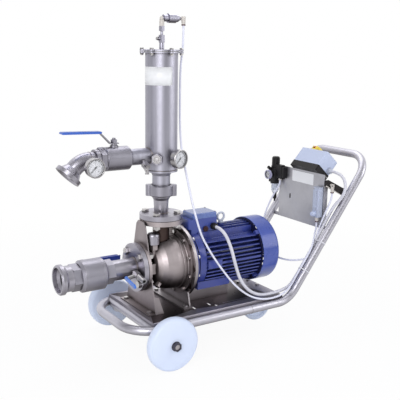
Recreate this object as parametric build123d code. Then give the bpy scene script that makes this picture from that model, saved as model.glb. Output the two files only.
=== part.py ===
from build123d import *
import math
import os

# Flotation pump set on a wheeled trolley, in millimetres, with the floor at zero.
# While it is built, X runs along the pump shaft from the suction end to the handle,
# and X and Y are zero on the axis of the discharge column.

# Trolley frame
tube_d = 33.7
tube_wall = 2.0
rail_spacing = 378.0
rail_height = 134.0
front_reach = 213.0
front_corner_r = 120.0
rear_bend_x = 492.0
rear_bend_r = 110.0
handle_rise = 53.2
handle_slope = 704.0
handle_corner_r = 100.0
frame_joint_x = 300.0
cross_tube_x = -131.0

# Base plate
sheet = 3.0
plate_top = 162.5
plate_front = -135.0
plate_rear = 465.0
plate_w = 367.0
plate_lip = 14.5
plate_slot_w = 8.0

# Front wheels and their axle
wheel_d = 200.0
wheel_w = 47.0
wheel_track = 498.0
wheel_x = -94.0
axle_d = 20.0
axle_end = 286.0
hub_d = 62.0
hanger_t = 10.0
hanger_w = 44.0
run_clearance = 0.05
face_clearance = 0.3

# Rear caster
caster_x = 425.0
caster_d = 125.0
caster_w = 40.0
caster_trail = 38.0
caster_turn = -11.3
caster_axle_d = 12.0
caster_plate_t = 3.0
caster_plate_x = 77.0
caster_plate_y = 90.0
caster_hole_x = 52.0
caster_hole_y = 64.0
fork_t = 3.5
fork_gap = 3.0
race_d = 56.0
race_h = 9.0
kingpin_d = 16.0

# Pump
shaft_z = 322.4
suction_face = 100.0
outlet_face_z = 502.4
suction_flange_d = 185.0
suction_pcd = 145.0
outlet_flange_d = 165.0
outlet_pcd = 125.0
pump_flange_t = 12.0
outlet_flange_t = 18.0
flange_bolt = 16.0
gasket_t = 2.0
counter_flange_t = 18.0
casing_wall = 4.0
casing_rim_d = 256.0
adapter_d = 290.0
casing_ring_t = 8.0
casing_ring_x = 60.0
casing_pcd = 236.0
casing_bolt = 8.0
casing_bolts_n = 10
suction_bore_r = 32.5
outlet_bore_r = 26.0
outlet_neck_r = 32.0
adapter_t = 12.0
impeller_d = 188.0
impeller_blades = 6
shaft_d = 38.0
seal_d = 60.0

# Motor
motor_front = 80.0
shield_t = 18.0
shield_d = 252.0
core_d = 200.0
bolt_room = 10.0
shield_ring_d = 236.0
fins_d = 246.0
fins_x = 138.0
fins_end = 397.0
fin_t = 4.5
fin_pitch = 16.0
cover_d = 266.0
cover_gap = 6.0
cover_end = 488.0
cover_wall = 2.0
cover_round = 15.0
cover_lug_w = 18.0
cover_lug_l = 10.0
motor_foot_end = 260.0
fan_d = 214.0
fan_blades = 8

# Terminal box
box_x0 = 97.0
box_x1 = 232.0
box_w = 90.0
box_split_z = 488.0
box_top_z = 509.0
box_lid_x0 = 120.0

# Suction line
stub_d = 76.0
stub_end = -212.0
suction_valve_x = -295.0
suction_body_d = 118.0
suction_body_half = 50.0
suction_ball_d = 96.0
suction_hex_in = 80.0
suction_hex_out = 88.0
suction_hex_end = -376.0
coupling_end = -424.0
coupling_rim_d = 111.0
coupling_d = 95.0
coupling_bore_r = 34.0
stem_tilt = 12.0
suction_lever_reach = 161.0
suction_stem_out = 86.0

# Discharge stack and column
stack_flange_t = 18.0
neck_d = 52.0
union_z0 = 589.0
union_z1 = 631.0
union_d = 92.0
union_lugs_d = 118.0
column_pipe_d = 68.0
column_d = 120.0
column_wall = 3.0
column_base_z = 690.0
column_top_z = 1123.0
column_rim_d = 124.0
lid_d = 134.0
lid_t = 6.0
ear_t = 5.0
lid_bolt_r = 72.0
lid_bolt = 8.0
lid_bolts_n = 6

# Branch with its valve and elbow
branch_z = 744.0
branch_d = 60.3
branch_bore_r = 25.0
branch_pipe_end = -138.0
branch_valve_x = -196.0
branch_body_d = 87.0
branch_ball_d = 72.0
branch_hex = 78.0
elbow_start = -293.5
elbow_r = 76.0
elbow_turn = 45.0
ferrule_d = 100.0
ferrule_t = 14.0
ferrule_out = 29.4

# Gauges
gauge_d = 70.0
gauge_depth = 26.0
small_gauge_d = 41.0

# Panel and its equipment
panel_x = 700.0
panel_w = 288.0
panel_z0 = 415.0
panel_z1 = 631.0
panel_flange = 22.0
panel_t = 2.0
box_tilt = 42.5
starter_y0 = -107.0
starter_y1 = 57.0
starter_l = 82.8
starter_base_h = 28.0
starter_cover_h = 72.0
estop_y = 10.0
strut_w = 30.0
strut_reach = 515.0
regulator_gap = 5.0
regulator_x = 697.0

# Hoses and cable
air_hose_d = 8.0
cable_d = 13.0

rail_y = rail_spacing / 2
tube_r = tube_d / 2
wheel_y = wheel_track / 2
fork_half = caster_w / 2 + fork_gap
mid_x = (rear_bend_x + handle_slope * math.cos(math.radians(handle_rise)) + tube_r + coupling_end) / 2


def stack(place, *steps, bore=0.0):
    """Turned solid that stands on the place: steps are (radius, length) or (radius, length, end radius)."""
    outline = [(bore, 0)]
    reach = 0
    for step in steps:
        outline.append((step[0], reach))
        reach += step[1]
        outline.append((step[-1] if len(step) == 3 else step[0], reach))
    outline.append((bore, reach))
    points = [q for k, q in enumerate(outline) if q != outline[k - 1]]
    return place * revolve(Plane.XZ * make_face(Polyline(*points, close=True)), Axis.Z)


def turned(place, *outline):
    """Solid turned about the normal of the place from a closed outline of (distance, radius) points."""
    points = [(radius, distance) for distance, radius in outline]
    return place * revolve(Plane.XZ * make_face(Polyline(*points, close=True)), Axis.Z)


def hexagon(place, across, length, bore=0.0):
    outline = RegularPolygon(across / 2, 6, major_radius=False)
    if bore:
        outline -= Circle(bore)
    return extrude(place * outline, amount=length)


def facing(at, direction, side=None):
    """Plane at a point, with its normal along the direction."""
    if side is None:
        return Plane(origin=at, z_dir=direction)
    return Plane(origin=at, x_dir=side, z_dir=direction)


def box_between(low, high):
    size = [h - l for l, h in zip(low, high)]
    return Pos(*low) * Box(*size, align=(Align.MIN, Align.MIN, Align.MIN))


def across_flats(size):
    return 1.5 * size + 1


def bolt(place, size, grip):
    """Hexagon bolt whose head stands on the place, with its nut at the far side of the grip."""
    head = hexagon(place, across_flats(size), 0.65 * size)
    below = Plane(origin=place.origin, z_dir=-place.z_dir)
    nut = hexagon(below.offset(grip), across_flats(size), 0.8 * size)
    return head + stack(below, (size / 2, grip + 1.1 * size)) + nut


def around(place, radius, count, start=0.0):
    """Planes on a circle about the place, all with its normal."""
    spots = []
    for k in range(count):
        turn = math.radians(start + 360 * k / count)
        spot = place.from_local_coords((radius * math.cos(turn), radius * math.sin(turn), 0))
        spots.append(Plane(origin=spot, x_dir=place.x_dir, z_dir=place.z_dir))
    return spots


def holes(places, radius, depth):
    """Round holes through a piece, from the places down to the depth."""
    return [stack(Plane(origin=p.origin, z_dir=-p.z_dir).offset(-1), (radius, depth + 2)) for p in places]


def cut(body, tools):
    for tool in tools:
        body = body - tool
    return body


def swept_tube(points, radii, radius, wall=0.0):
    path = FilletPolyline(*points, radius=radii)
    section = Circle(radius)
    if wall:
        section -= Circle(radius - wall)
    return sweep(Plane(origin=path @ 0, z_dir=path % 0) * section, path=path)


nodes = {}


def add(name, *bodies):
    nodes[name] = bodies


# Trolley frame: a bent loop in front and the handle loop behind, welded end to end
front_points = [
    (frame_joint_x, -rail_y, rail_height),
    (-front_reach, -rail_y, rail_height),
    (-front_reach, rail_y, rail_height),
    (frame_joint_x, rail_y, rail_height),
]
rise = math.radians(handle_rise)
handle_x = rear_bend_x + handle_slope * math.cos(rise)
handle_z = rail_height + handle_slope * math.sin(rise)
handle_points = [
    (frame_joint_x, -rail_y, rail_height),
    (rear_bend_x, -rail_y, rail_height),
    (handle_x, -rail_y, handle_z),
    (handle_x, rail_y, handle_z),
    (rear_bend_x, rail_y, rail_height),
    (frame_joint_x, rail_y, rail_height),
]
front_loop = swept_tube(front_points, [front_corner_r] * 2, tube_r, tube_wall)
front_solid = swept_tube(front_points, [front_corner_r] * 2, tube_r)
front_core = swept_tube(front_points, [front_corner_r] * 2, tube_r - tube_wall / 2)
handle_radii = [rear_bend_r, handle_corner_r, handle_corner_r, rear_bend_r]
add("handle_loop", swept_tube(handle_points, handle_radii, tube_r, tube_wall))

cross_place = facing((cross_tube_x, -rail_y, rail_height), (0, 1, 0))
cross_tube = stack(cross_place, (tube_r, rail_spacing), bore=tube_r - tube_wall)
front_loop += cross_tube - front_core


# Base plate: folded sheet that sits on the rails and on the front cross tube
def base_plate():
    half = plate_w / 2
    low = plate_top - plate_lip
    outline = Polyline(
        (-half, low), (-half, plate_top), (half, plate_top), (half, low),
        (half - sheet, low), (half - sheet, plate_top - sheet),
        (-half + sheet, plate_top - sheet), (-half + sheet, low), close=True,
    )
    plate = extrude(facing((plate_front, 0, 0), (1, 0, 0), (0, 1, 0)) * make_face(outline),
                    amount=plate_rear - plate_front)
    plate += box_between((plate_front, -half, low), (plate_front + sheet, half, plate_top))
    folds = plate.edges().filter_by(Axis.X).group_by(Axis.Z)[-1]
    plate = fillet(folds, sheet)
    rear_solid = swept_tube(handle_points, handle_radii, tube_r)
    plate = cut(plate, [front_solid, rear_solid, stack(cross_place, (tube_r, rail_spacing))])
    for slot_x, slot_y, slot_l in plate_slots:
        slot = Pos(slot_x, slot_y, plate_top) * Rot(Z=90) * SlotOverall(slot_l, plate_slot_w)
        plate -= extrude(slot, amount=2 * sheet, both=True)
    under_caster = facing((caster_x, 0, plate_top), (0, 0, 1))
    for dx in (-caster_hole_x / 2, caster_hole_x / 2):
        for dy in (-caster_hole_y / 2, caster_hole_y / 2):
            plate -= stack(under_caster * Plane(origin=(dx, dy, -2 * sheet)), (caster_bolt_hole, 3 * sheet))
    return cut(plate, foot_holes())


bracket_t = 4.0
foot_t = 6.0
bracket_x = -suction_face + pump_flange_t
adapter_front = casing_ring_x + casing_ring_t
foot_bolt = 10.0
foot_hole_r = foot_bolt / 2 + 0.5
foot_spots = []
for side in (-1, 1):
    foot_spots.append((bracket_x - 16, side * 92, bracket_t))
    foot_spots.append((adapter_front - 24, side * 112, foot_t))


def foot_holes():
    return [stack(facing((x, y, plate_top - 2 * sheet), (0, 0, 1)), (foot_hole_r, 4 * sheet + thick))
            for x, y, thick in foot_spots]


plate_slots = []
for side in (-1, 1):
    plate_slots += [(76, side * 120, 32), (148, side * 119, 26), (166, side * 142, 18), (428, side * 134, 18)]
caster_bolt = 8.0
caster_bolt_hole = caster_bolt / 2 + 0.3
add("base_plate", base_plate())

# Front axle on two hangers under the rails, with collars inside the wheels and a nut outside each
axle_z = wheel_d / 2


def hanger(side):
    place = facing((wheel_x, side * rail_y + hanger_t / 2, axle_z), (0, -1, 0), (1, 0, 0))
    top = rail_height - axle_z
    outline = make_face(Polyline((-hanger_w / 2, 0), (-hanger_w / 2, top), (hanger_w / 2, top),
                                 (hanger_w / 2, 0), close=True))
    outline += Circle(hanger_w / 2)
    plate = extrude(place * outline, amount=hanger_t)
    bored = stack(facing((wheel_x, side * rail_y - 20, axle_z), (0, 1, 0)), (axle_d / 2, 40))
    return plate - front_core - bored


add("front_loop", front_loop + hanger(-1) + hanger(1))


def front_axle():
    inner = wheel_y - wheel_w / 2 - face_clearance
    collar = inner - rail_y - hanger_t / 2
    axle = stack(facing((wheel_x, -axle_end + 2, axle_z), (0, 1, 0)), (axle_d / 2, 2 * axle_end - 4))
    for side in (-1, 1):
        start = facing((wheel_x, side * (inner - collar), axle_z), (0, side, 0))
        axle += stack(start, (axle_d / 2 + 5, collar))
    return axle


def axle_nut(side):
    outer = wheel_y + wheel_w / 2 + face_clearance
    place = facing((wheel_x, side * outer, axle_z), (0, side, 0))
    washer = stack(place, (axle_d * 0.9, 2.5), bore=axle_d / 2)
    return washer + hexagon(place.offset(2.5), 30, axle_end - outer - 2.5, bore=axle_d / 2)


add("front_axle", front_axle(), axle_nut(-1), axle_nut(1))


def roller(place, diameter, width, axle, hub):
    """Plastic wheel that is centred on the place and turns about its normal."""
    half = width / 2
    rim = diameter / 2
    crown = width * 0.16
    web = half * 0.62
    outline = [
        (-half, axle), (-half, hub), (-web, hub + 4), (-web, rim - 18), (-half + 2, rim - 14),
        (-half, rim - crown), (-half + crown * 0.4, rim - crown * 0.35), (-half + crown, rim),
        (half - crown, rim), (half - crown * 0.4, rim - crown * 0.35), (half, rim - crown),
        (half - 2, rim - 14), (web, rim - 18), (web, hub + 4), (half, hub), (half, axle),
    ]
    return turned(place, *outline)


for name, side in (("front_wheel_near", -1), ("front_wheel_far", 1)):
    hub_place = facing((wheel_x, side * wheel_y, axle_z), (0, 1, 0))
    add(name, roller(hub_place, wheel_d, wheel_w, axle_d / 2 + run_clearance, hub_d / 2))

# Rear caster, built with its trail along X and then turned about its swivel
turn_caster = Pos(caster_x, 0, 0) * Rot(Z=caster_turn) * Pos(-caster_x, 0, 0)
caster_top = plate_top - sheet
race_low = caster_top - caster_plate_t - race_h
caster_axle_x = caster_x + caster_trail
caster_axle_z = caster_d / 2


def caster_plate():
    blank = Box(caster_plate_x, caster_plate_y, caster_plate_t)
    plate = Pos(caster_x, 0, caster_top - caster_plate_t / 2) * blank
    plate = fillet(plate.edges().filter_by(Axis.Z), 8)
    race = facing((caster_x, 0, race_low), (0, 0, 1))
    plate += stack(race, (race_d / 2 - 6, 3), (race_d / 2, race_h - 3), bore=kingpin_d / 2 + run_clearance)
    plate -= stack(race, (kingpin_d / 2 + run_clearance, race_h + caster_plate_t))
    for dx in (-caster_hole_x / 2, caster_hole_x / 2):
        for dy in (-caster_hole_y / 2, caster_hole_y / 2):
            plate -= stack(facing((caster_x + dx, dy, race_low), (0, 0, 1)), (caster_bolt_hole, 2 * race_h))
    return plate


def caster_bolts():
    bolts = []
    for dx in (-caster_hole_x / 2, caster_hole_x / 2):
        for dy in (-caster_hole_y / 2, caster_hole_y / 2):
            top = facing((caster_x + dx, dy, plate_top), (0, 0, 1))
            bolts.append(bolt(top, caster_bolt, sheet + caster_plate_t))
    return bolts


def caster_fork():
    crown_top = race_low - face_clearance
    crown = stack(facing((caster_x, 0, crown_top - fork_t), (0, 0, 1)), (race_d / 2, fork_t))
    crown += box_between((caster_x - 18, -fork_half - fork_t, crown_top - fork_t),
                         (caster_x + 30, fork_half + fork_t, crown_top))
    king_top = race_h + caster_plate_t - 1
    crown += stack(facing((caster_x, 0, crown_top), (0, 0, 1)), (kingpin_d / 2, king_top))
    fork = crown
    for side in (-1, 1):
        place = Plane(origin=(0, side * (fork_half + fork_t), 0), x_dir=(1, 0, 0), z_dir=(0, -side, 0))
        flip = 1 if side > 0 else -1
        outline = make_face(Polyline(
            (caster_x - 18, flip * crown_top), (caster_x + 30, flip * crown_top),
            (caster_axle_x + 14, flip * caster_axle_z), (caster_axle_x - 14, flip * caster_axle_z), close=True))
        outline += Pos(caster_axle_x, flip * caster_axle_z) * Circle(14)
        fork += extrude(place * outline, amount=fork_t)
    reach = fork_half + fork_t
    axle = facing((caster_axle_x, -reach - 6, caster_axle_z), (0, 1, 0))
    fork += hexagon(axle, 19, 6) + hexagon(axle.offset(2 * reach + 6), 19, 8)
    fork += stack(axle, (caster_axle_d / 2, 2 * reach + 12))
    return turn_caster * fork


add("caster_plate", caster_plate())
add("caster_fork", caster_fork())
caster_hub = facing((caster_axle_x, 0, caster_axle_z), (0, 1, 0))
caster_bore_r = caster_axle_d / 2 + run_clearance
add("caster_wheel", turn_caster * roller(caster_hub, caster_d, caster_w, caster_bore_r, 18))

# Pump casing: pressed bowl with its suction and outlet flanges
shaft = facing((0, 0, shaft_z), (1, 0, 0), (0, 1, 0))
suction_end = facing((-suction_face, 0, shaft_z), (-1, 0, 0), (0, 1, 0))
outlet_end = facing((0, 0, outlet_face_z), (0, 0, 1), (1, 0, 0))
suction_bolts_at = around(suction_end, suction_pcd / 2, 4, 45)
outlet_bolts_at = around(outlet_end, outlet_pcd / 2, 4, 45)
flange_hole_r = flange_bolt / 2 + 1
bowl_r = 104.0
bowl_back = casing_ring_x
dome_end = 22.0
dome_l = 84.0
dome_neck_r = 41.0
neck_root = 60.0


def casing_shell(grow):
    """Outside of the wetted bowl, or its inside when grow is minus the wall."""
    dome = []
    for k in range(7):
        turn = math.radians(90 * k / 6)
        dome.append((dome_end - dome_l * math.cos(turn) - grow * math.cos(turn),
                     dome_neck_r + (bowl_r - dome_neck_r) * math.sin(turn) + grow))
    step = bowl_back - 16
    return dome + [(step - 2, bowl_r + grow), (step, bowl_r - 2 + grow), (step + 2, bowl_r + grow),
                   (step + 4, bowl_r + 4 + grow), (bowl_back - 2, bowl_r + 4 + grow)]


def pump_casing():
    ring_r = casing_rim_d / 2
    back = casing_ring_x + casing_ring_t
    outer = [(-suction_face, 0), (-suction_face, suction_flange_d / 2), (bracket_x, suction_flange_d / 2),
             (bracket_x, dome_neck_r)] + casing_shell(0)
    outer += [(casing_ring_x, bowl_r + 6), (casing_ring_x, ring_r), (back, ring_r), (back, 0)]
    inner = [(-suction_face - 1, 0), (-suction_face - 1, suction_bore_r)]
    inner += [(dome_end - dome_l + casing_wall - 1, suction_bore_r)]
    inner += casing_shell(-casing_wall)[1:]
    inner += [(back + 1, bowl_r), (back + 1, 0)]
    body = turned(shaft, *outer)
    neck = facing((0, 0, shaft_z + neck_root), (0, 0, 1))
    neck_l = outlet_face_z - outlet_flange_t - shaft_z - neck_root
    body += stack(neck, (outlet_neck_r + 3, neck_l * 0.35, outlet_neck_r), (outlet_neck_r, neck_l * 0.65),
                  (outlet_flange_d / 2, outlet_flange_t))
    tie_x = bracket_x + bracket_t
    for side in (-1, 1):
        low_y = min(side * 46, side * 60)
        body += box_between((tie_x, low_y, shaft_z - 20), (-26, low_y + 14, shaft_z + 20))
    cap_hex_h = 22
    body += stack(facing((cap_x, cap_y, shaft_z + 40), (0, 0, 1)), (12, cap_z - cap_hex_h - shaft_z - 40))
    body += hexagon(facing((cap_x, cap_y, cap_z - cap_hex_h), (0, 0, 1)), 34, cap_hex_h)
    body += hexagon(facing((-40, -54, shaft_z - 59), (-0.6, -0.3, -0.6)), 19, 18)
    body -= turned(shaft, *inner)
    body -= stack(neck, (outlet_bore_r, outlet_face_z - shaft_z))
    body = cut(body, holes(suction_bolts_at, flange_hole_r, pump_flange_t))
    body = cut(body, holes(outlet_bolts_at, flange_hole_r, outlet_flange_t))
    return cut(body, holes(casing_bolts_at, casing_bolt / 2 + 0.5, casing_ring_t))


cap_x = -54.0
cap_y = -34.0
cap_z = 414.0
cap_d = 48.0
cap_h = 43.0
ring_front = facing((casing_ring_x, 0, shaft_z), (-1, 0, 0), (0, 1, 0))
casing_bolts_at = around(ring_front, casing_pcd / 2, casing_bolts_n, 18)
add("pump_casing", pump_casing())

cap_place = facing((cap_x, cap_y, cap_z), (0, 0, 1))
cap = stack(cap_place, (cap_d / 2, cap_h))
cap = fillet(cap.edges().group_by(Axis.Z)[-1], 12)

# Adapter plate behind the casing, with the shaft seal in it
adapter = stack(facing((adapter_front, 0, shaft_z), (1, 0, 0), (0, 1, 0)), (adapter_d / 2, adapter_t),
                bore=seal_d / 2)
adapter = cut(adapter, holes(around(facing((adapter_front, 0, shaft_z), (-1, 0, 0), (0, 1, 0)),
                                    casing_pcd / 2, casing_bolts_n, 18), casing_bolt / 2 + 0.5, adapter_t))
add("motor_adapter", adapter)
seal_place = facing((adapter_front - 22, 0, shaft_z), (1, 0, 0))
shaft_seal = stack(seal_place, (seal_d / 2 - 8, 22), (seal_d / 2, adapter_t),
                   bore=shaft_d / 2 + run_clearance)
casing_grip = casing_ring_t + adapter_t + shield_t
casing_bolts = [bolt(p, casing_bolt, casing_grip) for p in casing_bolts_at]


# Rotor: shaft with the impeller and the cooling fan on it
def impeller():
    back = 26.0
    eye = 38.0
    rim = impeller_d / 2
    body = stack(facing((back, 0, shaft_z), (-1, 0, 0)), (rim, 4), (24, 30), (12, 12, 6))
    front = [(-36, eye - 4), (-36, eye), (-30, eye), (-8, rim - 20), (-4, rim), (0, rim), (-4, rim - 21),
             (-26, eye), (-28, eye - 4)]
    body += turned(shaft, *front)
    for k in range(impeller_blades):
        blade = ThreePointArc((20, 0), (52, 24), (rim - 1, 20))
        flat = facing((0, 0, 0), (0, 0, 1)) * trace(blade, 4)
        spin = Pos(back - 2, 0, shaft_z) * Rot(X=360 / impeller_blades * k) * Rot(Y=-90)
        plate = spin * extrude(flat, amount=back + 26)
        keep = [(back, 18), (back, rim), (-3, rim), (-7, rim - 20), (-28, eye), (-28, 18)]
        body += plate & turned(shaft, *keep)
    return body


def fan():
    body = stack(facing((cover_end - 70, 0, shaft_z), (1, 0, 0)), (34, 26), (28, 6))
    for k in range(fan_blades):
        blade = Pos(cover_end - 70, 0, shaft_z) * Rot(X=360 / fan_blades * k)
        body += blade * box_between((0, -1.5, 20), (30, 1.5, fan_d / 2))
    return body


rotor = stack(facing((0, 0, shaft_z), (1, 0, 0)), (shaft_d / 2 - 2, 24), (shaft_d / 2, cover_end - 62))
add("pump_rotor", rotor + impeller() + fan())


# Motor: finned frame with its end shield, rear fan cover and terminal box
def fin(turn, offset, thick, start, end):
    """Cooling fin beside the core, between two distances from the shaft."""
    half = math.sqrt((fins_d / 2) ** 2 - (abs(offset) + thick / 2) ** 2)
    plate = box_between((start, -half, offset - thick / 2), (end, half, offset + thick / 2))
    return Pos(0, 0, shaft_z) * Rot(X=turn) * plate


def motor_frame():
    ring_x = motor_front + shield_t + bolt_room
    core_r = core_d / 2
    body = stack(facing((motor_front, 0, shaft_z), (1, 0, 0)), (shield_d / 2, shield_t),
                 (core_r + 8, bolt_room), (shield_ring_d / 2, fins_x - ring_x),
                 (core_r, fins_end + cover_gap - fins_x))
    for k in range(-side_fins, side_fins + 1):
        body += fin(0, k * fin_pitch, fin_t * (2 if k == 0 else 1), fins_x, fins_end)
    for k in range(-top_fins, top_fins + 1):
        body += fin(90, k * fin_pitch, fin_t, fins_x, fins_end)
    seat_r = cover_d / 2 - cover_wall
    lug_x = fins_end - cover_lug_l
    seat = stack(facing((lug_x, 0, shaft_z), (1, 0, 0)), (seat_r, 2 * cover_lug_l + cover_gap))
    for k in range(4):
        lug = box_between((lug_x, -cover_lug_w / 2, core_r - 10),
                          (lug_x + 2 * cover_lug_l + cover_gap, cover_lug_w / 2, seat_r + 5))
        body += Pos(0, 0, shaft_z) * Rot(X=45 + 90 * k) * lug & seat
    for side in (-1, 1):
        low_y = min(side * 74, side * 96)
        body += box_between((ring_x + 2, low_y, shaft_z - 102), (motor_foot_end, low_y + 22, shaft_z - 72))
    body += box_between((pad_x0, -fins_d / 2 - 2, pad_z0), (pad_x1, -core_r + 10, pad_z1))
    body += stack(facing((eye_x, 0, shaft_z + 60), (0, 0, 1)), (15, fins_d / 2 - 60 + 4))
    body -= stack(facing((motor_front - 1, 0, shaft_z), (1, 0, 0)), (shaft_d / 2 + run_clearance, 360))
    body -= box_room
    for p in around(facing((motor_front, 0, shaft_z), (-1, 0, 0), (0, 1, 0)), casing_pcd / 2, casing_bolts_n, 18):
        body -= stack(Plane(origin=p.origin, z_dir=(1, 0, 0)).offset(-1), (casing_bolt / 2 + 0.5, shield_t + 2))
    return body


side_fins = int(0.85 * core_d / 2 / fin_pitch)
top_fins = int(0.5 * core_d / 2 / fin_pitch)
pad_x0 = 140.0
pad_x1 = 204.0
pad_z0 = shaft_z - 15
pad_z1 = shaft_z + 15
eye_x = 278.0
box_low = shaft_z + 104
box_step_x = motor_front + shield_t + bolt_room + 2
box_step_z = shaft_z + fins_d / 2 + 4
box_room = box_between((box_x0, -box_w / 2, box_low), (box_x1, box_w / 2, box_top_z))
add("motor_frame", motor_frame())


def fan_cover():
    back = facing((cover_end, 0, shaft_z), (-1, 0, 0), (0, 1, 0))
    depth = cover_end - fins_end - cover_gap
    body = stack(back, (cover_d / 2, depth))
    body = fillet(body.edges().group_by(Axis.X)[-1], cover_round)
    room = stack(back.offset(cover_wall), (cover_d / 2 - cover_wall, depth))
    room = fillet(room.edges().group_by(Axis.X)[-1], cover_round - cover_wall)
    body -= room
    for ring in (38, 58, 78, 98):
        slot = Circle(ring + 4.5) - Circle(ring - 4.5)
        slot -= Rectangle(2 * ring + 20, 12)
        slot -= Rectangle(12, 2 * ring + 20)
        body -= extrude(back.offset(-1) * slot, amount=cover_wall + 2)
    return body


add("fan_cover", fan_cover())


def terminal_box():
    body = box_between((box_x0, -box_w / 2, box_low), (box_x1, box_w / 2, box_split_z))
    body = fillet(body.edges().filter_by(Axis.Z), 8)
    return body - box_between((box_x0 - 1, -box_w, box_low - 1), (box_step_x, box_w, box_step_z))


def terminal_lid():
    lid = box_between((box_lid_x0, -box_w / 2 + 1, box_split_z), (box_x1, box_w / 2 - 1, box_top_z))
    lid = fillet(lid.edges().filter_by(Axis.Z), 10)
    return fillet(lid.edges().group_by(Axis.Z)[-1], 6)


add("terminal_box", terminal_box())
add("terminal_lid", terminal_lid())
gland_x = 211.0
gland_z = 453.0
gland_at = facing((gland_x, -box_w / 2, gland_z), (0, -1, 0), (1, 0, 0))
gland = hexagon(gland_at, 25, 8) + stack(gland_at.offset(8), (13, 8), (13, 6, 8))
plug_at = facing((gland_x - 37, -box_w / 2, gland_z - 7), (0, -1, 0), (1, 0, 0))
blank_plug = hexagon(plug_at, 20, 6)
eye_base = shaft_z + fins_d / 2 + 4
eye_bolt = stack(facing((eye_x, 0, eye_base), (0, 0, 1)), (10, 6), (6, 6))
eye_bolt += Pos(eye_x, 0, eye_base + 25) * Rot(X=90) * Torus(16, 4.5)
add("eye_bolt", eye_bolt)


# Brackets that carry the pump and motor on the base plate
def suction_bracket():
    foot_half = 115.0
    top_half = 35.0
    top_z = 499.0
    place = facing((bracket_x, 0, 0), (1, 0, 0), (0, 1, 0))
    outline = make_face(Polyline((-foot_half, plate_top), (-top_half, top_z - 14), (-top_half + 14, top_z),
                                 (top_half - 14, top_z), (top_half, top_z - 14), (foot_half, plate_top),
                                 close=True))
    outline -= Pos(0, shaft_z) * Circle(41.5)
    body = extrude(place * outline, amount=bracket_t)
    body += box_between((bracket_x - 30, -foot_half, plate_top), (bracket_x, foot_half, plate_top + bracket_t))
    lean = math.degrees(math.atan((foot_half - top_half) / (top_z - plate_top)))
    back = bracket_x + bracket_t
    wing = make_face(Polyline((bracket_x, 0), (back + 32, 0), (back + 29, 14), (back + 18, 60), (bracket_x, 68),
                              close=True))
    for side in (-1, 1):
        inner = extrude(Plane.XZ * wing, amount=side * bracket_t)
        body += Pos(0, side * foot_half, plate_top) * Rot(X=side * lean) * inner
    body -= box_between((bracket_x - 1, -200, plate_top - 20), (back + 60, 200, plate_top))
    body = cut(body, foot_holes())
    return cut(body, holes([p.offset(-pump_flange_t) for p in suction_bolts_at], flange_hole_r, bracket_t))


add("suction_bracket", suction_bracket())


def pump_foot():
    back = adapter_front
    foot_top = plate_top + 59.5
    place = facing((back - foot_t, 0, 0), (1, 0, 0), (0, 1, 0))
    outline = make_face(Polyline((-113, plate_top), (-98, foot_top), (98, foot_top), (113, plate_top), close=True))
    outline -= Pos(0, shaft_z) * Circle(casing_rim_d / 2)
    body = extrude(place * outline, amount=foot_t)
    body += box_between((back - 40, -127, plate_top), (back, 127, plate_top + foot_t))
    return cut(body, foot_holes())


def motor_channel():
    low = plate_top
    place = facing((85, 0, 0), (1, 0, 0), (0, 1, 0))
    outline = Polyline((-50, low), (50, low), (50, low + 60), (46, low + 60), (46, low + 4), (-46, low + 4),
                       (-46, low + 60), (-50, low + 60), close=True)
    body = extrude(place * make_face(outline), amount=200)
    return body - stack(facing((84, 0, shaft_z), (1, 0, 0)), (shield_d / 2, 16), (fins_d / 2, 190))


add("pump_supports", pump_foot(), motor_channel())

foot_bolts = [bolt(facing((x, y, plate_top + thick), (0, 0, 1)), foot_bolt, thick + sheet)
              for x, y, thick in foot_spots]

# Suction line: counter flange with its stub, ball valve and hose coupling
counter = facing((-suction_face - gasket_t, 0, shaft_z), (-1, 0, 0), (0, 1, 0))
outlet_counter = outlet_end.offset(gasket_t)
gasket_s = stack(suction_end, (suction_pcd / 2 - flange_hole_r, gasket_t), bore=suction_bore_r)
gasket_o = stack(outlet_end, (outlet_pcd / 2 - flange_hole_r, gasket_t), bore=outlet_bore_r)

stub_l = -stub_end - suction_face - gasket_t - counter_flange_t
suction_pipe = stack(counter, (suction_flange_d / 2, counter_flange_t), (stub_d / 2, stub_l),
                     bore=suction_bore_r)
counter_face = counter.offset(counter_flange_t)
counter_bolts_at = around(counter_face, suction_pcd / 2, 4, 45)
suction_pipe = cut(suction_pipe, holes(counter_bolts_at, flange_hole_r, counter_flange_t))
drain_x = -136.0
drain_dip = 10.0
drain_out = (0, -math.cos(math.radians(drain_dip)), -math.sin(math.radians(drain_dip)))
drain_axis = facing((drain_x, 0, shaft_z), drain_out, (1, 0, 0))
drain_bore_r = 6.0
suction_pipe -= stack(drain_axis, (drain_bore_r, 60))

suction_grip_t = counter_flange_t + gasket_t + pump_flange_t + bracket_t
outlet_grip_t = stack_flange_t + gasket_t + outlet_flange_t
flange_bolts = [bolt(p, flange_bolt, suction_grip_t) for p in counter_bolts_at]
outlet_top = outlet_counter.offset(stack_flange_t)
top_bolts_at = around(outlet_top, outlet_pcd / 2, 4, 45)
flange_bolts += [bolt(p, flange_bolt, outlet_grip_t) for p in top_bolts_at]
add("flange_bolts", *flange_bolts)


def valve_ball(place, ball_d, bore_r, stem_r, stem_top):
    """Ball with its bore along the normal of the place and its stem along the place's x direction."""
    reach = ball_d
    ball = Pos(*place.origin) * Sphere(ball_d / 2)
    ball -= stack(place.offset(-reach), (bore_r, 2 * reach))
    stem = Plane(origin=place.origin, z_dir=place.x_dir).offset(ball_d / 2 - 5)
    return ball + stack(stem, (stem_r, stem_top - ball_d / 2 + 5))


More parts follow.
